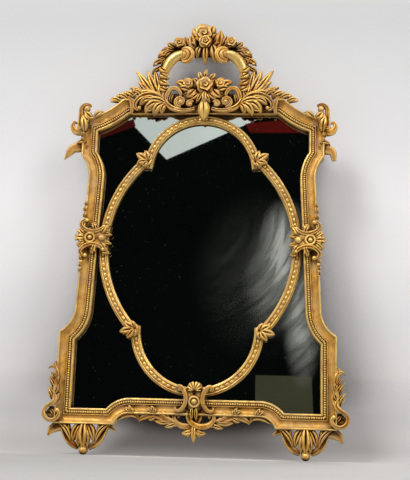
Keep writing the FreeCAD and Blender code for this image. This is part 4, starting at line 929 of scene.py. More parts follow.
class MIRROR_OT_oval(bpy.types.Operator):
    """Builds the oval moulding's four arcs with their sunk beads, and the clasps over the joints."""

    bl_idname = "mirror.oval_moulding"
    bl_label = "Oval moulding"

    def execute(self, context):
        sizes = context.scene.mirror_sizes
        size = (sizes.oval_bead_length / MM / 2, 4.5, 2.4)
        gilt = finish("beads")
        arcs = {}
        for name in OVAL_ARCS:
            arc = moulding([oval_line(name, s, 72) for s, _, _ in OVAL_PROFILE], OVAL_PROFILE)
            beads_on(arc, oval_line(name, 0.0, 200), sizes.oval_bead_pitch / MM, size, OVAL_BEAD_DEPTH)
            arcs[name] = arc
        arcs["left"] = arcs["right"].mirrored()
        for name, arc in arcs.items():
            piece(f"oval_moulding_{name}", arc, gilt, "gilded_moulding", f"oval_{name}_arc")
        for level, ends in CLASPS.items():
            pair(f"leaf_clasp_{level}", self.palmette(*ends), finish("carving"), "gilded_carving", f"clasp_{level}")
        return {"FINISHED"}

    def palmette(self, root, tip):
        """Rounded lobes that fan out over a joint from a rolled collar near the cusp."""
        root, tip = np.array(root), np.array(tip)
        way = (tip - root) / np.linalg.norm(tip - root)
        across = np.array((-way[1], way[0]))
        clasp = Carving()
        for turn, length, width in ((-78, 23, 17), (78, 23, 17), (-40, 33, 20), (40, 33, 20), (0, 42, 22)):
            ray = way * math.cos(math.radians(turn)) + across * math.sin(math.radians(turn))
            leaf(
                clasp, root + way * 5 + ray, root + way * 5 + ray * length, width, (37.0, 42.0, 36.0),
                crown=4.5, vein=2.6, thick=13.0, sweep=0.1,
            )
        flat = through((root - across * 15 + way * 3, root - way * 2, root + across * 15 + way * 3), 18)
        rod(clasp, np.c_[flat, np.full(18, 37.0)], (2.5, 4.2, 2.5), (4.0, 5.5, 4.0))
        return clasp


class MIRROR_OT_crest(bpy.types.Operator):
    """Carves the crest: arches, volutes, acanthus scrolls, leaf fans, bouquets and the husk."""

    bl_idname = "mirror.crest"
    bl_label = "Crest"

    def execute(self, context):
        gilt = finish("carving")
        self.arches()
        self.scrolls(gilt)
        self.fans(gilt)
        self.lower_bouquet(gilt)
        self.top_bouquet(gilt)
        return {"FINISHED"}

    def arches(self):
        """The two arches, with rolled ends and leaves wrapped round them."""
        arch = Carving()
        stem = through((
            (108, 398, 33), (114, 430, 34), (118, 458, 35), (115, 486, 36), (106, 514, 38), (91, 534, 40),
            (71, 545, 41), (54, 546, 41),
        ), 64)
        rod(
            arch, stem, (8.0, 9.0, 10.0, 11.5, 13.5, 15.5, 15.0, 12.0),
            (11.0, 11.0, 11.5, 12.0, 12.5, 12.5, 12.0, 11.0),
        )
        for place, reach, thick in ((57.0, 23.0, 6.5), (62.0, 15.0, 5.5), (66.0, 8.0, 5.0)):
            curl = spiral((place, 543), (reach * 0.9, reach, reach * 0.9), (66.0, 290.0), (44.0, 50.0, 44.0), 34)
            rod(
                arch, curl, (thick * 0.5, thick, thick, thick * 0.5), (thick, thick * 1.6, thick * 1.6, thick),
                gouge=0.2,
            )
        ball(arch, (58, 543, 36), 20.0, 0.34)
        for z, reach in ((444, 25), (464, 26), (484, 25), (502, 22)):
            leaf(
                arch, (127, z + 8), (125 - reach, z - 10), 21.0, (38.0, 51.0, 42.0),
                bow=6, crown=5.0, vein=2.8, sweep=0.3, tone=-0.22,
            )
        for root, tip, bow in (((108, 404), (129, 466), -6.0), ((112, 398), (134, 440), -4.0)):
            leaf(arch, root, tip, 15.0, (42.0, 47.0, 40.0), bow=bow, vein=2.4, sweep=0.2, tone=-0.15)
        # Painted shade: the arch's heights are lowered so it renders darker.
        arch.dull(0.08)
        pair("rolled_arch", arch, finish("arch"), "burnished_gilding", "crest_arch")

    def scrolls(self, gilt):
        """The bowl's volutes, the acanthus sprays beside them and the husk."""
        bowl = Carving()
        band = through((
            (101, 440, 44), (111, 424, 46), (110, 404, 48), (98, 387, 49), (78, 376, 50), (52, 372, 50), (24, 379, 48),
        ), 60)
        rod(bowl, band, (4.0, 6.5, 7.5, 7.5, 7.0, 6.0, 4.0), (6.0, 8.5, 9.0, 9.0, 9.0, 8.0, 6.0), gouge=0.45)
        fold = through((
            (106, 400, 47), (102, 423, 50), (91, 438, 51), (76, 437, 51), (65, 424, 50), (67, 409, 48),
        ), 40)
        rod(bowl, fold, (4.0, 6.5, 6.5, 6.0, 5.0, 3.0), (6.0, 8.5, 8.5, 8.0, 7.0, 5.0), gouge=0.3)
        volute(bowl, (65, 399), 17.0, 50.0, 5.2, -95.0, 1.3, hand=1.0)
        volute(bowl, (38, 393), 10.5, 50.0, 3.8, 150.0, 1.2, hand=-1.0)
        leaf(bowl, (92, 396), (84, 426), 14.0, (44.0, 48.0, 42.0), bow=-5, vein=2.6, sweep=0.2, tone=-0.2)
        leaf(bowl, (34, 376), (86, 380), 12.0, (52.0, 57.0, 52.0), bow=-7, vein=1.6, sweep=0.2)
        for root, tip, width, bow in (
            ((18, 396), (98, 426), 40.0, -6.0), ((40, 386), (104, 402), 26.0, -5.0), ((54, 392), (60, 424), 18.0, 4.0),
        ):
            leaf(
                bowl, root, tip, width, (34.0, 38.0, 34.0), bow=bow, crown=4.5, vein=3.0, thick=8.0, sweep=0.1,
                tone=-0.3,
            )
        pair("bowl_volute", bowl, gilt, "gilded_carving", "crest_volute")

        spray = Carving()
        main = through((
            (104, 396, 46), (124, 411, 48), (150, 420, 50), (177, 414, 50), (193, 398, 49), (194, 382, 48),
            (184, 376, 47),
        ), 60)
        rod(spray, main, (5.0, 8.5, 9.5, 9.0, 7.5, 6.0, 4.0), (7.0, 10.0, 11.0, 11.0, 10.0, 8.0, 6.0), gouge=0.5)
        ball(spray, (182, 381, 48), 6.0)
        for root, tip, width, bow in (
            ((106, 394), (172, 396), 22.0, 9.0), ((112, 394), (140, 360), 24.0, 6.0),
            ((126, 398), (164, 366), 24.0, 8.0),
            ((142, 404), (182, 388), 20.0, 7.0), ((104, 392), (118, 364), 18.0, 4.0),
        ):
            leaf(spray, root, tip, width, (50.0, 57.0, 46.0), bow=bow, crown=5.0, vein=3.0, thick=9.0, sweep=0.3)
        volute(spray, (150, 380), 11.0, 52.0, 4.4, 100.0, 1.2, hand=-1.0)
        upper = through(((106, 404, 42), (132, 424, 43), (160, 433, 44), (188, 428, 44), (206, 414, 44)), 40)
        rod(spray, upper, (3.0, 5.0, 5.0, 4.0, 2.5), (5.0, 7.0, 7.0, 6.0, 4.0))
        stop_band = through(((214, 416, 44), (206, 402, 46), (203, 385, 46), (205, 366, 42)), 26)
        rod(spray, stop_band, (4.0, 6.5, 6.5, 4.0), (6.0, 8.0, 8.0, 5.0), gouge=0.3)
        pair("acanthus_spray", spray, gilt, "gilded_carving", "crest_acanthus")

        husk = Carving()
        leaf(
            husk, (2, TOP_EDGE - 2), (3, TOP_EDGE - 66), 34.0, (48.0, 55.0, 46.0), lobes=0, crown=5.0, thick=8.0,
            sweep=0.2,
        )
        for x in (-8, -3, 3, 9):
            rib = through(
                ((2 + x * 0.7, TOP_EDGE - 4, 54), (2 + x, TOP_EDGE - 30, 57), (3 + x * 0.3, TOP_EDGE - 58, 52)), 16,
            )
            rod(husk, rib, (1.2, 2.0, 0.8), (1.6, 2.4, 1.0))
        piece("pendant_husk", husk, gilt, "gilded_carving", "crest_husk")

    def fans(self, gilt):
        """The leaf fans and the small leaves that run down the shoulders."""
        fan = Carving()
        for root, tip, width, bow in (
            ((132, 402), (198, 499), 23.0, 2.0), ((124, 410), (165, 500), 24.0, -2.0),
            ((120, 416), (143, 506), 20.0, -4.0),
            ((138, 402), (192, 466), 21.0, 4.0), ((144, 402), (214, 448), 21.0, 6.0),
        ):
            leaf(fan, root, tip, width, (35.0, 43.0, 37.0), bow=bow, crown=5.0, vein=3.6, thick=9.0, sweep=0.15)
        for root, tip, bow in (
            ((172, 416), (206, 436), 5.0), ((194, 412), (230, 430), 5.0), ((216, 410), (250, 420), 4.0),
            ((236, 401), (268, 406), 4.0),
        ):
            leaf(fan, root, tip, 17.0, (43.0, 48.0, 43.0), bow=bow, crown=4.0, vein=2.4, thick=9.0, sweep=0.3)
            ball(fan, (tip[0] - 6, tip[1] - 3, 46.0), 4.4)
        pair("leaf_fan", fan, gilt, "gilded_carving", "crest_fan")

    def lower_bouquet(self, gilt):
        """Three roses and their leaves inside the arches."""
        bunch = Carving()
        leaf(bunch, (-66, 430), (66, 430), 60.0, (28.0, 33.0, 28.0), crown=1.0, vein=0.0, thick=6.0, sweep=0.0)
        for root, tip, width in (
            ((4, 468), (6, 503), 14.0), ((-6, 464), (-17, 495), 16.0), ((14, 466), (33, 489), 17.0),
            ((-14, 458), (-32, 474), 16.0),
        ):
            leaf(bunch, root, tip, width, (40.0, 45.0, 38.0), crown=3.5, vein=2.4, sweep=0.1, tone=-0.1)
        for side in (1, -1):
            for root, tip, width, bow, depths in (
                ((54, 424), (78, 446), 26.0, 4.0, (36.0, 40.0, 35.0)),
                ((30, 446), (34, 474), 22.0, 3.0, (38.0, 42.0, 37.0)),
                ((30, 420), (62, 420), 26.0, 4.0, (37.0, 41.0, 36.0)),
                ((36, 446), (56, 476), 24.0, 3.0, (38.0, 43.0, 37.0)),
                ((46, 442), (82, 463), 26.0, 5.0, (38.0, 44.0, 37.0)),
                ((40, 436), (74, 440), 24.0, 4.0, (42.0, 47.0, 40.0)),
                ((26, 438), (52, 414), 28.0, -4.0, (44.0, 50.0, 42.0)),
                ((16, 426), (38, 408), 20.0, -3.0, (48.0, 53.0, 46.0)),
                ((6, 424), (20, 396), 15.0, -2.0, (52.0, 57.0, 52.0)),
            ):
                leaf(
                    bunch, (side * root[0], root[1]), (side * tip[0], tip[1]), width, depths,
                    bow=side * bow, crown=4.5, vein=2.8, sweep=0.0, tone=-0.2,
                )
            rose(bunch, (side * 46, 456), 16.0, 43.0, spin=0.5 * side, turns=2.0)
        leaf(bunch, (3, 428), (3, 390), 16.0, (54.0, 60.0, 53.0), vein=2.4, sweep=0.0)
        rose(bunch, (4, 450), 27.0, 44.0, tall=0.7, spin=0.3, turns=2.4)
        piece("lower_bouquet", bunch, gilt, "gilded_carving", "crest_lower_bouquet")

    def top_bouquet(self, gilt):
        """The roses on top, their leaves and the garland down each arch."""
        bunch = Carving()
        leaf(bunch, (-104, 566), (104, 566), 52.0, (28.0, 33.0, 28.0), crown=1.0, vein=0.0, thick=6.0, sweep=0.0)
        for root, tip, width, bow, tone in (
            ((-8, 606), (-12, 645), 40.0, 0.0, 0.0), ((10, 606), (22, 637), 30.0, -2.0, -0.1),
            ((-14, 602), (-36, 630), 28.0, 2.0, -0.1),
            ((20, 588), (34, 614), 26.0, -2.0, -0.3), ((-20, 588), (-38, 612), 26.0, 2.0, -0.3),
            ((22, 566), (50, 586), 28.0, -2.0, -0.3),
            ((-22, 566), (-50, 586), 28.0, 2.0, -0.3),
            ((34, 562), (44, 623), 28.0, -3.0, -0.25), ((-30, 562), (-40, 608), 28.0, 3.0, -0.2),
            ((50, 570), (62, 606), 22.0, -3.0, -0.25),
            ((-46, 562), (-58, 604), 22.0, 3.0, -0.3), ((40, 556), (68, 568), 22.0, -3.0, -0.2),
            ((-40, 556), (-68, 568), 22.0, 3.0, -0.2),
        ):
            leaf(bunch, root, tip, width, (37.0, 45.0, 38.0), bow=bow, crown=4.5, vein=2.0, sweep=0.0, tone=tone)
        for side in (1, -1):
            for root, tip, width, bow in (
                ((86, 570), (108, 586), 18.0, -3.0), ((90, 562), (121, 570), 17.0, -3.0),
                ((98, 556), (128, 560), 15.0, 3.0),
                ((104, 550), (136, 538), 20.0, 5.0), ((112, 538), (137, 531), 14.0, -3.0),
                ((116, 530), (149, 514), 18.0, 4.0),
                ((120, 516), (141, 502), 14.0, -3.0), ((124, 506), (150, 488), 15.0, 4.0),
                ((96, 556), (116, 536), 18.0, 5.0),
                ((110, 536), (122, 510), 15.0, 4.0),
            ):
                leaf(
                    bunch, (side * root[0], root[1]), (side * tip[0], tip[1]), width, (36.0, 43.0, 37.0),
                    bow=side * bow, crown=4.0, vein=2.6, sweep=0.2, tone=-0.2,
                )
            rose(bunch, (side * 75, 582), 17.5, 43.0, spin=side * 0.4, turns=2.2)
            ball(bunch, (side * 125, 549, 42.0), 6.0)
            ball(bunch, (side * 140, 517, 41.0), 5.0)
        for root, tip, width, bow in (
            ((2, 572), (2, 517), 20.0, 0.0), ((20, 574), (30, 521), 28.0, 3.0), ((-13, 568), (-22, 536), 19.0, -3.0),
        ):
            leaf(bunch, root, tip, width, (44.0, 50.0, 40.0), bow=bow, crown=4.5, vein=2.2, sweep=0.0, tone=-0.1)
        rose(bunch, (-4, 610), 29.0, 42.0, tall=0.5, spin=1.2, turns=2.2)
        rose(bunch, (1, 582), 20.0, 50.0, tall=0.7, spin=0.2, turns=2.4)
        # Painted shade: the top bouquet's heights are lowered so it renders darker.
        bunch.dull(0.14)
        piece("top_bouquet", bunch, gilt, "gilded_carving", "crest_top_bouquet")


class MIRROR_OT_ears(bpy.types.Operator):
    """Carves the ear volutes and leaf horns of the upper corners."""

    bl_idname = "mirror.ears"
    bl_label = "Ears"

    def execute(self, context):
        gilt = finish("carving")
        x, z = UPPER_CORNER
        ear = Carving()
        rise = np.array([(x + 8, z - 30 + 4 * i, 40.0) for i in range(14)])
        curl = led((x + 8, z + 28), 90.0, ((16.0, 128.0),), (40.0, 44.0), 30)
        band = np.vstack([rise[:-1], curl])
        rod(ear, spaced(band, 64), (9.0, 8.5, 7.5, 6.5, 5.0), (13.0, 13.0, 13.0, 12.0), gouge=0.3)
        ball(ear, (x - 10, z + 31, 46.0), 9.4, 1.0)
        leaf(ear, (x - 26, z + 4), (x - 4, z + 26), 22.0, (44.0, 49.0, 45.0), bow=-3, crown=4.0, thick=12.0, sweep=0.0)
        leaf(
            ear, (x - 6, z - 36), (x + 2, z + 12), 22.0, (48.0, 54.0, 48.0), bow=2, crown=4.5, vein=2.6, thick=12.0,
            sweep=0.2,
        )
        leaf(ear, (x - 18, z - 6), (x - 2, z + 14), 18.0, (49.0, 54.0, 48.0), bow=-4, crown=4.0, thick=10.0, sweep=0.2)
        leaf(ear, (x - 30, z + 2), (x - 56, z + 24), 20.0, (44.0, 50.0, 44.0), bow=-3, lobes=1, thick=10.0, sweep=0.3)
        pair("corner_ear", ear, gilt, "gilded_carving", "ear_volute")
        for side, bend, end, node_name in (
            ("right", ((346, 264, 35), (364, 254, 37), (369, 230, 37)), (11.0, 6.0), "ear_horns_right"),
            ("left", ((346, 268, 35), (370, 261, 37), (391, 230, 37)), (12.5, 1.4), "ear_horns_left"),
        ):
            horn = Carving()
            hook = through(
                (
                    (x - 4, z - 30, 40), (x + 10, z - 37, 41), (x + 23, z - 33, 42), (x + 30, z - 20, 42),
                    (x + 26, z - 8, 42), (x + 19, z - 11, 42),
                ),
                40,
            )
            rod(horn, hook, (6.0, 11.0, 10.0, 7.5, 5.0, 3.0), (10.0, 10.0, 9.0, 8.0, 6.0, 5.0), gouge=0.25)
            leaf(horn, (x - 4, z - 22), (x + 18, z - 22), 13.0, (44.0, 47.0, 43.0), bow=-3, sweep=0.2)
            thorn = through(((326, 268, 29), *bend), 30)
            rod(horn, thorn, (9.0, 16.0, *end), (8.0, 10.0, 8.0, end[1] + 0.3), gouge=0.2)
            leaf(horn, (330, 282), (358, 276), 13.0, (44.0, 48.0, 43.0), bow=2, sweep=0.2)
            made = horn if side == "right" else horn.mirrored()
            piece(f"leaf_horns_on_{side}", made, gilt, "gilded_carving", node_name)
        return {"FINISHED"}


class MIRROR_OT_sides(bpy.types.Operator):
    """Carves the side cartouches and the pearls along the stiles."""

    bl_idname = "mirror.side_cartouches"
    bl_label = "Side cartouches"

    def execute(self, context):
        gilt = finish("carving")
        x, z = stile_sight(0.0), 1.0
        knot = Carving()
        leaf(knot, (x - 24, z), (x + 58, z), 60.0, (44.0, 49.0, 44.0), crown=2.0, vein=0.0, thick=12.0, sweep=0.0)
        for side in (1, -1):
            path = led(
                (x - 18, z + side * 32), -50.0 * side, ((40.0, 100.0 * side), (11.0, 150.0 * side)),
                (48.0, 50.0, 48.0), 56,
            )
            rod(knot, path, (5.0, 6.5, 6.0, 4.0), (7.0, 8.0, 8.0, 6.0), gouge=0.4)
            ball(knot, (path[-1][0], path[-1][1], 48.0), 6.5)
            ball(knot, (path[0][0], path[0][1], 48.0), 6.0)
            leaf(knot, (x - 8, z + side * 12), (x - 24, z + side * 40), 18.0, (46.0, 51.0, 40.0), bow=side * 3, lobes=2)
            leaf(
                knot, (x + 30, z + side * 8), (x + 52, z + side * 26), 20.0, (48.0, 53.0, 46.0), bow=side * -3,
                lobes=2,
            )
            leaf(knot, (x + 6, z + side * 14), (x + 16, z + side * 44), 18.0, (48.0, 53.0, 46.0), bow=side * 3, lobes=3)
        leaf(knot, (x + 32, z), (x + 61, z + 1), 25.0, (50.0, 55.0, 48.0), lobes=2)
        for side in (1, -1):
            for place, reach in ((11, 30), (38, 27)):
                leaf(
                    knot, (x - 14, z + side * place), (x - reach - 8, z + side * (place + 2)), 13.0,
                    (42.0, 44.0, 34.0), thick=9.0, sweep=0.0,
                )
        torus(knot, (x + 20, z, 52.0), 12.5, 3.6)
        ball(knot, (x + 20, z, 51.0), 7.5, 0.9)
        ball(knot, (x - 12, z, 48.0), 10.0, 0.95)
        pair("side_knot", knot, gilt, "gilded_carving", "side_cartouche")
        pearls = Carving()
        outer = RAIL_WIDTH - 2.25
        places = [
            (stile_sight(h) + outer, h, r) for h,
            r in ((102, 5.5), (88, 7.5), (70, 7.0), (-66, 8.0), (-84, 6.5), (-97, 5.0))
        ]
        places += [(SHOULDER[0] + outer, h, r) for h, r in ((322, 5.5), (306, 7.0), (290, 6.0))]
        for px, pz, r in places:
            ball(pearls, (px, pz, 46.5), r * 0.72, 1.0)
            for lean in (-0.5, 0.5):
                tip = (px + r * (0.35 + lean * 0.5), pz - math.copysign(r * 1.5, pz))
                leaf(
                    pearls, (px - r * 0.5 * lean, pz + r * 0.6), tip, r * 1.2, (46.0, 46.0 + r * 0.8, 45.0),
                    bow=lean * 2, lobes=0, thick=4.0,
                )
        both = Carving()
        both.take(pearls)
        both.take(pearls.mirrored())
        piece("stile_pearl_runs", both, gilt, "gilded_carving", "stile_pearls")
        return {"FINISHED"}


class MIRROR_OT_low(bpy.types.Operator):
    """Carves the lower cartouche with its shell, the ring scrolls, the pendant and the apron."""

    bl_idname = "mirror.lower_cartouche"
    bl_label = "Lower cartouche"

    def execute(self, context):
        gilt = finish("carving")
        z = -ARCH_DROP
        boss = Carving()
        leaf(boss, (0, z + 44), (0, z - 42), 54.0, (42.0, 46.0, 42.0), crown=2.0, vein=0.0, thick=13.0, sweep=0.0)
        shell(boss, (0.0, z + 23), 23.0, 47.0, flutes=7, spread=190.0)
        for side in (1, -1):
            scroll = through([(side * a, b, f) for a, b, f in (
                (46, z + 20, 46), (48, z + 29, 48), (38, z + 32, 50), (27, z + 20, 51), (22, z + 2, 52),
                (25, z - 16, 51),
                (37, z - 30, 50), (49, z - 30, 49), (50, z - 21, 47),
            )], 70)
            rod(
                boss, scroll, (2.5, 5.0, 6.0, 6.0, 6.0, 6.0, 5.5, 4.5, 2.5),
                (5.0, 8.0, 9.0, 9.0, 9.0, 9.0, 8.0, 7.0, 4.0), gouge=0.15,
            )
            leaf(
                boss, (side * 6, z - 22), (side * 7, z - 56), 11.0, (50.0, 54.0, 44.0), bow=side * -1, vein=2.4,
                sweep=0.2,
            )
        torus(boss, (0, z - 7, 53.0), 13.0, 3.2)
        ball(boss, (0, z - 7, 52.0), 8.5, 0.9)
        piece("shell_cartouche", boss, gilt, "gilded_carving", "lower_cartouche")

        loops = Carving()
        for side, depth in ((1, 41.0), (-1, 35.0)):
            ring = through([(side * a, b, depth) for a, b in (
                (-15, z - 30), (-14, z - 48), (-4, z - 63), (17, z - 71), (39, z - 67), (53, z - 53), (50, z - 40),
                (41, z - 42), (42, z - 50),
            )], 64)
            rod(
                loops, ring, (6.0, 7.0, 7.8, 8.2, 8.2, 7.6, 6.2, 4.5, 3.0),
                (8.0, 9.0, 9.0, 9.5, 9.5, 9.0, 8.0, 6.0, 5.0), gouge=0.15,
            )
        piece("ring_scrolls", loops, gilt, "gilded_carving", "lower_rings")

        drop = Carving()
        leaf(drop, (0, z - 62), (0, z - 112), 17.0, (35.0, 42.0, 34.0), crown=6.0, vein=-2.5, thick=10.0, sweep=0.2)
        leaf(drop, (-4, z - 40), (4, z - 84), 20.0, (31.0, 36.0, 31.0), crown=3.0, thick=9.0, sweep=0.2)
        for side in (1, -1):
            leaf(
                drop, (side * 2, z - 76), (side * 32, z - 88), 17.0, (36.0, 40.0, 34.0), bow=side * -5, thick=9.0,
                sweep=0.2,
            )
            leaf(
                drop, (side * 2, z - 80), (side * 16, z - 99), 14.0, (36.0, 40.0, 34.0), bow=side * 3, thick=9.0,
                sweep=0.2,
            )
        piece("pendant_drop", drop, gilt, "gilded_carving", "lower_pendant")

        apron = Carving()
        arm = through(((44, z - 66, 35), (64, z - 60, 36), (84, z - 50, 37), (104, z - 44, 38), (120, z - 42, 38)), 40)
        rod(apron, arm, (7.0, 11.5, 11.0, 8.5, 5.0), (9.0, 11.0, 10.5, 9.0, 6.5), gouge=0.4)
        for root, tip, width, bow in (
            ((58, z - 58), (106, z - 57), 12.0, -5.0), ((66, z - 52), (96, z - 38), 15.0, 5.0),
            ((46, z - 62), (78, z - 73), 13.0, -3.0),
            ((100, z - 42), (122, z - 56), 13.0, -3.0),
        ):
            leaf(apron, root, tip, width, (38.0, 43.0, 36.0), bow=bow, vein=2.6, thick=10.0, sweep=0.3)
        edging = through(((108, z - 42, 38), (126, z - 47, 38), (139, z - 53, 38), (147, z - 61, 37)), 26)
        rod(apron, edging, (6.0, 8.0, 6.5, 2.0), (8.0, 9.0, 8.0, 3.5), gouge=0.35)
        edging = through(
            ((146, z - 58, 38), (154, z - 47, 38), (170, z - 43, 38), (188, z - 48, 38), (204, z - 58, 38)), 30,
        )
        rod(apron, edging, (2.0, 6.5, 8.0, 6.5, 2.5), (4.0, 8.0, 9.0, 8.0, 4.0), gouge=0.35)
        for place in (112.0, 172.0):
            for lean in (-10, 0, 10):
                leaf(
                    apron, (place - 4, z - 40), (place + 2 + lean, z - 20 - abs(lean) * 0.6), 11.0,
                    (44.0, 49.0, 46.0), bow=2, sweep=0.2,
                )
        both = Carving()
        both.take(apron)
        both.take(apron.mirrored())
        piece("apron_leafage", both, gilt, "gilded_carving", "apron_waves")
        return {"FINISHED"}


class MIRROR_OT_corners(bpy.types.Operator):
    """Carves the volutes and acanthus leaves of the lower corners."""

    bl_idname = "mirror.lower_corners"
    bl_label = "Lower corners"

    def execute(self, context):
        gilt = finish("carving")
        x, z = LOWER_CORNER
        scroll = Carving()
        path = led((x + 12, z + 49), -16.0, ((21.0, -236.0), (10.0, -80.0)), (48.0, 50.0, 50.0), 64)
        rod(scroll, path, (4.0, 6.0, 6.0, 4.5), (8.0, 9.0, 8.5, 6.0), gouge=0.3)
        ball(scroll, (path[-1][0], path[-1][1], 49.0), 6.5)
        leaf(
            scroll, (x - 8, z + 28), (x + 24, z + 28), 34.0, (39.0, 41.0, 39.0), crown=1.0, vein=0.0, thick=14.0,
            sweep=0.0, tone=-0.05,
        )
        leaf(scroll, (x - 2, z + 18), (x + 14, z + 38), 14.0, (41.0, 45.0, 41.0), bow=3, sweep=0.0, tone=-0.2)
        pair("corner_scroll", scroll, gilt, "gilded_carving", "corner_volute")
        spray = Carving()
        twist = through(((x + 17, z + 46, 46), (x + 6, z + 52, 50), (x - 3, z + 64, 50), (x + 3, z + 82, 47)), 30)
        rod(spray, twist, (5.0, 7.5, 6.0, 2.0), (7.0, 9.0, 8.0, 4.0), gouge=0.35)
        stem = through(((x + 2, z + 60, 44), (x + 1, z + 90, 45), (x - 2, z + 116, 45), (x - 2, z + 134, 44)), 30)
        rod(spray, stem, (6.0, 6.0, 5.5, 4.0), (9.0, 9.0, 8.0, 6.0))
        curl = through((
            (x - 3, z + 110, 46), (x - 4, z + 130, 48), (x + 2, z + 146, 49), (x + 13, z + 150, 47),
            (x + 22, z + 145, 43),
        ), 30)
        rod(spray, curl, (4.0, 6.0, 6.5, 5.0, 1.5), (7.0, 8.0, 8.0, 6.0, 2.5), gouge=0.3)
        for root, tip, width, bow in (
            ((0, 58), (23, 96), 13.0, 6.0), ((8, 62), (22, 82), 10.0, 4.0), ((-2, 86), (21, 123), 13.0, 6.0),
            ((6, 92), (19, 110), 9.0, 4.0), ((-2, 136), (5, 164), 11.0, -2.0), ((0, 112), (17, 134), 10.0, 4.0),
            ((2, 56), (-10, 82), 12.0, 3.0), ((2, 74), (-6, 106), 11.0, 3.0), ((2, 100), (-7, 130), 10.0, 3.0),
        ):
            leaf(
                spray, (x + root[0], z + root[1]), (x + tip[0], z + tip[1]), width, (45.0, 51.0, 43.0),
                bow=bow, crown=4.0, vein=2.6, thick=10.0, sweep=0.2, tone=-0.1,
            )
        for px, pz in ((10, 76), (10, 104)):
            ball(spray, (x + px, z + pz, 47.0), 4.6)
        pair("corner_acanthus", spray, gilt, "gilded_carving", "corner_leaf")
        return {"FINISHED"}


class MIRROR_OT_feet(bpy.types.Operator):
    """Carves the pierced leaf feet and turns their balls."""

    bl_idname = "mirror.feet"
    bl_label = "Feet"

    def execute(self, context):
        gilt = finish("carving")
        x, z, depth = 293.0, LOWER_EDGE, 30.0
        foot = Carving()
        for side in (1, -1):
            arm = through([(x + side * a, z + b, depth) for a, b in (
                (68, 6), (58, -9), (52, -22), (45, -36), (33, -50), (14, -61),
            )], 44)
            rod(foot, arm, (7.0, 8.5, 9.0, 9.5, 9.0, 7.0), (10.0, 11.0, 11.0, 11.0, 10.0), gouge=0.35)
            leaf(
                foot, (x + side * 66, z + 2), (x + side * 34, z - 46), 15.0, (38.0, 44.0, 38.0), bow=side * -8,
                vein=2.6, thick=8.0, sweep=0.2,
            )
            leaf(
                foot, (x + side * 44, z + 6), (x + side * 36, z - 24), 15.0, (36.0, 40.0, 34.0), bow=side * 3,
                thick=9.0, sweep=0.2,
            )
            leaf(
                foot, (x + side * 8, z + 4), (x + side * 27, z - 46), 21.0, (37.0, 43.0, 36.0), bow=side * 6,
                vein=2.8, thick=10.0, sweep=0.2,
            )
            leaf(
                foot, (x + side * 5, z - 6), (x + side * 12, z - 60), 17.0, (42.0, 46.0, 38.0), bow=side * 2,
                vein=2.8, thick=10.0, sweep=0.2,
            )
        leaf(foot, (x, z + 6), (x, z - 62), 28.0, (40.0, 49.0, 38.0), crown=5.5, vein=3.2, thick=14.0, sweep=0.2)
        thorn = through(((x + 50, z - 2, 31), (x + 72, z - 7, 31), (x + 88, z - 17, 32), (x + 97, z - 32, 33)), 24)
        rod(foot, thorn, (13.0, 15.0, 12.0, 3.0), (10.0, 9.0, 7.0, 2.0), gouge=0.3)
        thorn = through(((x - 54, z - 2, 31), (x - 70, z - 6, 31), (x - 86, z - 16, 31)), 18)
        rod(foot, thorn, (9.0, 7.0, 1.5), (9.0, 7.0, 2.0), gouge=0.3)
        ball(foot, (x, z - 56, depth), 12.0, 1.0)
        torus(foot, (x, z - 58, depth + 6), 8.0, 2.4)
        # Painted shade: the foot's heights are lowered so it renders darker.
        foot.dull(0.16)
        pair("leaf_foot", foot, gilt, "gilded_carving", "foot")
        balls = Carving()
        for side in (1, -1):
            ball(balls, (side * x, z - 67, depth), 12.4, 1.0, 12, 22)
        piece("ball_feet", balls, gilt, "gilded_carving", "foot_balls")
        return {"FINISHED"}


class MIRROR_OT_plates(bpy.types.Operator):
    """Finishes the glass plates, the board and the fittings of the back, whose CAD shapes stay."""

    bl_idname = "mirror.plates_and_back"
    bl_label = "Plates and back"

    def execute(self, context):
        board = timber("Raw softwood board", "#4b3522", "#80603f", 9.0)
        dowel = timber("Raw beech", "#8a6a48", "#b8946a", 2.0)
        brass = metal("Dull cast brass", "#6e5426", "#b3904a", 0.38)
        zinc = metal("Zinc plated steel", "#6f706c", "#a9aaa5", 0.36)
        steel = metal("Dulled steel screw", "#55534e", "#8a8780", 0.42)
        finishes = {
            "oval_glass": silvered_glass(), "border_glass": silvered_glass(), "backboard": board,
            "corner_dowels": dowel,
            "turn_button_screws": steel, "hanger_screws": steel, "oval_screws": steel, "turn_button": brass,
            "hanger": zinc, "wall_pads": felt(),
        }
        for name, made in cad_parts.items():
            for start, material in finishes.items():
                if name.startswith(start):
                    made.data.materials.clear()
                    made.data.materials.append(material)
                    break
        return {"FINISHED"}


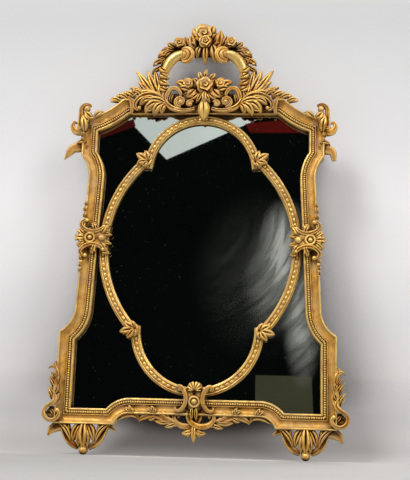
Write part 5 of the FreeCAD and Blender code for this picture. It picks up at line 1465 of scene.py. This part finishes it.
class MIRROR_OT_stage(bpy.types.Operator):
    """Sets the floor, the room that the glass shows, the light and the camera."""

    bl_idname = "mirror.stage"
    bl_label = "Stage"

    def execute(self, context):
        settings = context.scene.mirror_stage
        self.floor(settings)
        self.wall(settings)
        self.room()
        self.light(settings)
        self.camera(context.scene, settings)
        context.scene.view_settings.view_transform = "Standard"
        return {"FINISHED"}

    def card(self, name, corners, material):
        """A flat card on the stage."""
        mesh = bpy.data.meshes.new(name)
        mesh.from_pydata(corners, [], [tuple(range(len(corners)))])
        mesh.materials.append(material)
        made = bpy.data.objects.new(name, mesh)
        bpy.context.scene.collection.objects.link(made)
        return made

    def floor(self, settings):
        """A wide pale paper floor under the feet, which takes the shadow."""
        material, tree, shader = blank("Matt paper floor")
        spot = node(tree, "ShaderNodeTexCoord").outputs["Object"]
        tone = node(tree, "ShaderNodeTexNoise", Vector=spot, Scale=per_metre(400.0), Detail=4.0)
        pale = tuple(settings.floor_colour)
        dim = tuple(c * 0.93 for c in pale)
        tree.links.new(
            ramp(tree, tone.outputs["Fac"], ((0.3, dim + (1.0,)), (0.7, pale + (1.0,)))), shader.inputs["Base Color"],
        )
        shader.inputs["Roughness"].default_value = 0.85
        level = CAD_BOX[0].z
        self.card("floor", [(-8, -8, level), (8, -8, level), (8, 8, level), (-8, 8, level)], material)

    def wall(self, settings):
        """A paper backdrop that the mirror leans on, swept into the floor and seen only from the front."""
        low, high = CAD_BOX[0].z, CAD_BOX[1].z
        material, tree, shader = blank("Matt paper backdrop")
        place = node(
            tree, "ShaderNodeSeparateXYZ", Vector=node(tree, "ShaderNodeTexCoord").outputs["Object"],
        ).outputs["Z"]
        share = node(
            tree, "ShaderNodeMapRange", Value=place, From_Min=WALL_SHADES[0], From_Max=WALL_SHADES[1],
            To_Min=0.0, To_Max=1.0,
        )
        shades = ramp(tree, share.outputs["Result"], [(level, linear(shade)) for level, shade in BACKDROP])
        # Painted shade: the backdrop is painted dark brown where the mirror shuts out the light around it, most under
        # the lower rail.
        close = node(tree, "ShaderNodeAmbientOcclusion", {"samples": 32}, Distance=GAP_REACH)
        open_air = node(
            tree, "ShaderNodeMapRange", {"interpolation_type": "SMOOTHSTEP"}, Value=close.outputs["AO"],
            From_Min=GAP_SHARES[0], From_Max=GAP_SHARES[1], To_Min=0.0, To_Max=1.0,
        )
        seen = node(
            tree, "ShaderNodeMix", {"data_type": "RGBA"}, i0=open_air.outputs["Result"],
            i6=linear(GAP_SHADE), i7=shades,
        )
        rise = node(
            tree, "ShaderNodeMapRange", Value=place, From_Min=low + WALL_BLEND[0], From_Max=low + WALL_BLEND[1],
            To_Min=0.0, To_Max=1.0,
        )
        floor = tuple(settings.floor_colour) + (1.0,)
        swept = node(
            tree, "ShaderNodeMix", {"data_type": "RGBA"}, i0=rise.outputs["Result"], i6=floor, i7=seen.outputs[2],
        )
        tree.links.new(swept.outputs[2], shader.inputs["Base Color"])
        shader.inputs["Roughness"].default_value = 0.85
        clear = node(tree, "ShaderNodeBsdfTransparent")
        facing = node(tree, "ShaderNodeNewGeometry")
        both = node(
            tree, "ShaderNodeMixShader", i0=facing.outputs["Backfacing"], i1=shader.outputs[0], i2=clear.outputs[0],
        )
        out = next(n for n in tree.nodes if n.type == "OUTPUT_MATERIAL")
        tree.links.new(both.outputs[0], out.inputs["Surface"])
        lean = math.tan(math.radians(-settings.camera_lean))
        foot, reach = WALL_GAP + (high - low) * lean, WALL_SWEEP
        line = [
            (
                (1 - t) ** 2 * (foot - reach) + 2 * t * (1 - t) * foot + t * t * (foot - reach * lean),
                low + 0.0006 + t * t * reach,
            )
            for t in np.linspace(0.0, 1.0, 17)
        ]
        line += [(foot - (h - low) * lean, h) for h in np.linspace(low + reach, high + WALL_OVER, 10)[1:]]
        mesh = bpy.data.meshes.new("wall")
        mesh.from_pydata(
            [(x, y, h) for y, h in line for x in (-WALL_HALF, WALL_HALF)], [],
            [(2 * i, 2 * i + 1, 2 * i + 3, 2 * i + 2) for i in range(len(line) - 1)]
        )
        mesh.shade_smooth()
        mesh.materials.append(material)
        made = bpy.data.objects.new("wall", mesh)
        bpy.context.scene.collection.objects.link(made)
        made.visible_diffuse = False
        made.visible_glossy = False
        made.visible_shadow = False

    def room(self):
        """Cards that stand for the dark room in front of the glass, seen only in reflections."""
        for name, shade, corners in ROOM_CARDS:
            material, tree, shader = blank(f"Card {name}")
            spot = node(tree, "ShaderNodeTexCoord").outputs["Object"]
            tone = node(tree, "ShaderNodeTexNoise", Vector=spot, Scale=per_metre(700.0), Detail=4.0)
            dark = linear(shade)
            shades = ramp(tree, tone.outputs["Fac"], ((0.35, dark), (0.75, tuple(c * 1.35 for c in dark))))
            # Painted light: each card glows with its own colour and shows only in reflections.
            tree.links.new(shades, shader.inputs["Emission Color"])
            shader.inputs["Emission Strength"].default_value = 1.0
            shader.inputs["Base Color"].default_value = (0.0, 0.0, 0.0, 1.0)
            shader.inputs["Roughness"].default_value = 1.0
            shader.inputs["Specular IOR Level"].default_value = 0.0
            made = self.card(name, corners, material)
            made.visible_camera = False
            made.visible_diffuse = False
            made.visible_shadow = False

    def light(self, settings):
        """A pale world, which fills the shadows, and four soft lamps."""
        world = bpy.data.worlds.new("Pale studio")
        bpy.context.scene.world = world
        world.use_nodes = True
        tree = world.node_tree
        tree.nodes.clear()
        rays = node(tree, "ShaderNodeLightPath")
        seen = node(
            tree, "ShaderNodeMath", {"operation": "MAXIMUM"}, i0=rays.outputs["Is Camera Ray"],
            i1=rays.outputs["Is Glossy Ray"],
        )
        seen = node(
            tree, "ShaderNodeMath", {"operation": "MAXIMUM"}, i0=seen.outputs[0],
            i1=rays.outputs["Is Transmission Ray"],
        )
        way = node(tree, "ShaderNodeSeparateXYZ", Vector=node(tree, "ShaderNodeTexCoord").outputs["Generated"])
        # Painted shade: the background seen by the camera and in reflections is darker towards the horizon, for the
        # shade low on the backdrop.
        shades = ramp(tree, way.outputs["Z"], ((0.0, linear("#b4b3b1")), (0.3, linear("#dcdad8"))))
        shown = node(tree, "ShaderNodeBackground", Color=shades, Strength=1.0)
        fill = node(tree, "ShaderNodeBackground", Color=linear("#f3efe9"), Strength=settings.fill)
        both = node(tree, "ShaderNodeMixShader", i0=seen.outputs[0], i1=fill.outputs[0], i2=shown.outputs[0])
        node(tree, "ShaderNodeOutputWorld", Surface=both.outputs[0])
        aim = Vector(LAMP_AIM)
        for name, place, size, power in LAMPS:
            lamp = bpy.data.lights.new(name, "AREA")
            lamp.size = size
            lamp.energy = settings.lamp_power * power
            lamp.color = linear("#fff9f1")[:3]
            made = bpy.data.objects.new(name, lamp)
            bpy.context.scene.collection.objects.link(made)
            made.location = place
            made.rotation_euler = (aim - made.location).to_track_quat("-Z", "Y").to_euler()

    def camera(self, scene, settings):
        """The viewpoint of the photograph: low, a little to the right, looking up."""
        lean, yaw, roll = (math.radians(a) for a in (settings.camera_lean, settings.camera_yaw, settings.camera_roll))
        turned = Matrix.Rotation(roll, 3, "Y") @ Matrix.Rotation(yaw, 3, "Z") @ Matrix.Rotation(lean, 3, "X")
        right, ahead, up = turned.row[0], turned.row[1], turned.row[2]
        data = bpy.data.cameras.new("camera")
        data.sensor_width = 36.0
        data.lens = settings.camera_lens
        made = bpy.data.objects.new("camera", data)
        scene.collection.objects.link(made)
        axes = Matrix((right, up, -ahead)).transposed()
        made.matrix_world = Matrix.Translation(Vector(settings.camera_place)) @ axes.to_4x4()
        scene.camera = made


# Settings


class MirrorSizes(bpy.types.PropertyGroup):
    """Sizes of the repeated ornament."""

    bead_pitch: FloatProperty(
        name="Bead pitch", description="Spacing of the frame's beads", default=0.0062, unit="LENGTH",
    )
    bead_radius: FloatProperty(
        name="Bead radius", description="Radius of the frame's beads", default=0.0034, unit="LENGTH",
    )
    oval_bead_pitch: FloatProperty(
        name="Oval bead pitch", description="Spacing of the oval's beads", default=0.0146, unit="LENGTH",
    )
    oval_bead_length: FloatProperty(
        name="Oval bead length", description="Length of one bead of the oval", default=0.0126, unit="LENGTH",
    )


class MirrorColours(bpy.types.PropertyGroup):
    """Colours of the gilding, from the hollows to the rubbed high places."""

    # The hollows colour is partly brown dirt and partly painted shade, where relief and ambient occlusion are low.
    recess: FloatVectorProperty(
        name="Hollows", description="Dusty brown in the hollows", subtype="COLOR", size=3,
        default=linear("#150a01")[:3],
    )
    dull: FloatVectorProperty(
        name="Dull gilding", description="Gilding under dust", subtype="COLOR", size=3, default=linear("#63400b")[:3],
    )
    gold: FloatVectorProperty(
        name="Gold", description="Clean gold leaf", subtype="COLOR", size=3, default=linear("#d1952f")[:3],
    )
    bright: FloatVectorProperty(
        name="Rubbed gold", description="Rubbed high places", subtype="COLOR", size=3, default=linear("#f3ce78")[:3],
    )
    bole: FloatVectorProperty(
        name="Bole", description="Red clay where the leaf is rubbed through", subtype="COLOR", size=3,
        default=linear("#8f520c")[:3],
    )
    dust: FloatVectorProperty(
        name="Dust", description="Dusty film on the flats", subtype="COLOR", size=3, default=linear("#b09164")[:3],
    )


class MirrorStage(bpy.types.PropertyGroup):
    """Floor, light and viewpoint."""

    floor_colour: FloatVectorProperty(
        name="Floor", description="Colour of the floor", subtype="COLOR", size=3, default=linear("#b3b5b9")[:3],
    )
    fill: FloatProperty(name="Fill light", description="Strength of the light from all round", default=0.34)
    lamp_power: FloatProperty(name="Lamp power", description="Power of the main lamp", default=40.0, unit="POWER")
    camera_place: FloatVectorProperty(
        name="Camera place", description="Where the camera stands", subtype="XYZ", unit="LENGTH", size=3,
        default=(0.2091, -2.4723, -0.689),
    )
    camera_lean: FloatProperty(name="Lean", description="How far the camera looks up, in degrees", default=-12.5)
    camera_yaw: FloatProperty(
        name="Yaw", description="How far the camera looks to the side, in degrees", default=-4.439,
    )
    camera_roll: FloatProperty(name="Roll", description="How far the camera is tipped, in degrees", default=0.672)
    camera_lens: FloatProperty(name="Lens", description="Focal length in millimetres", default=68.18)


OPERATORS = (
    MIRROR_OT_frame, MIRROR_OT_beads, MIRROR_OT_oval, MIRROR_OT_crest, MIRROR_OT_ears, MIRROR_OT_sides,
    MIRROR_OT_low, MIRROR_OT_corners, MIRROR_OT_feet, MIRROR_OT_plates, MIRROR_OT_stage,
)
GROUPS = {"mirror_sizes": MirrorSizes, "mirror_colours": MirrorColours, "mirror_stage": MirrorStage}


class MIRROR_PT_panel(bpy.types.Panel):
    """Lists the mirror's pieces and settings."""

    bl_idname = "MIRROR_PT_panel"
    bl_label = "Gilded wall mirror"
    bl_space_type = "VIEW_3D"
    bl_region_type = "UI"
    bl_category = "Mirror"

    def draw(self, context):
        """Shows the settings and a button for each operator."""
        for name, group in GROUPS.items():
            for key in group.__annotations__:
                self.layout.prop(getattr(context.scene, name), key)
        for operator in OPERATORS:
            self.layout.operator(operator.bl_idname)


CLASSES = (*GROUPS.values(), *OPERATORS, MIRROR_PT_panel)


def register():
    """Registers the classes and hangs the settings on the scene."""
    for made in CLASSES:
        bpy.utils.register_class(made)
    for name, group in GROUPS.items():
        setattr(bpy.types.Scene, name, PointerProperty(type=group))


def unregister():
    """Takes the settings and the classes away again."""
    for name in GROUPS:
        delattr(bpy.types.Scene, name)
    for made in reversed(CLASSES):
        bpy.utils.unregister_class(made)


def main():
    register()
    for operator in OPERATORS:
        family, name = operator.bl_idname.split(".")
        getattr(getattr(bpy.ops, family), name)()
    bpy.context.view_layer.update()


if __name__ == "__main__":
    main()
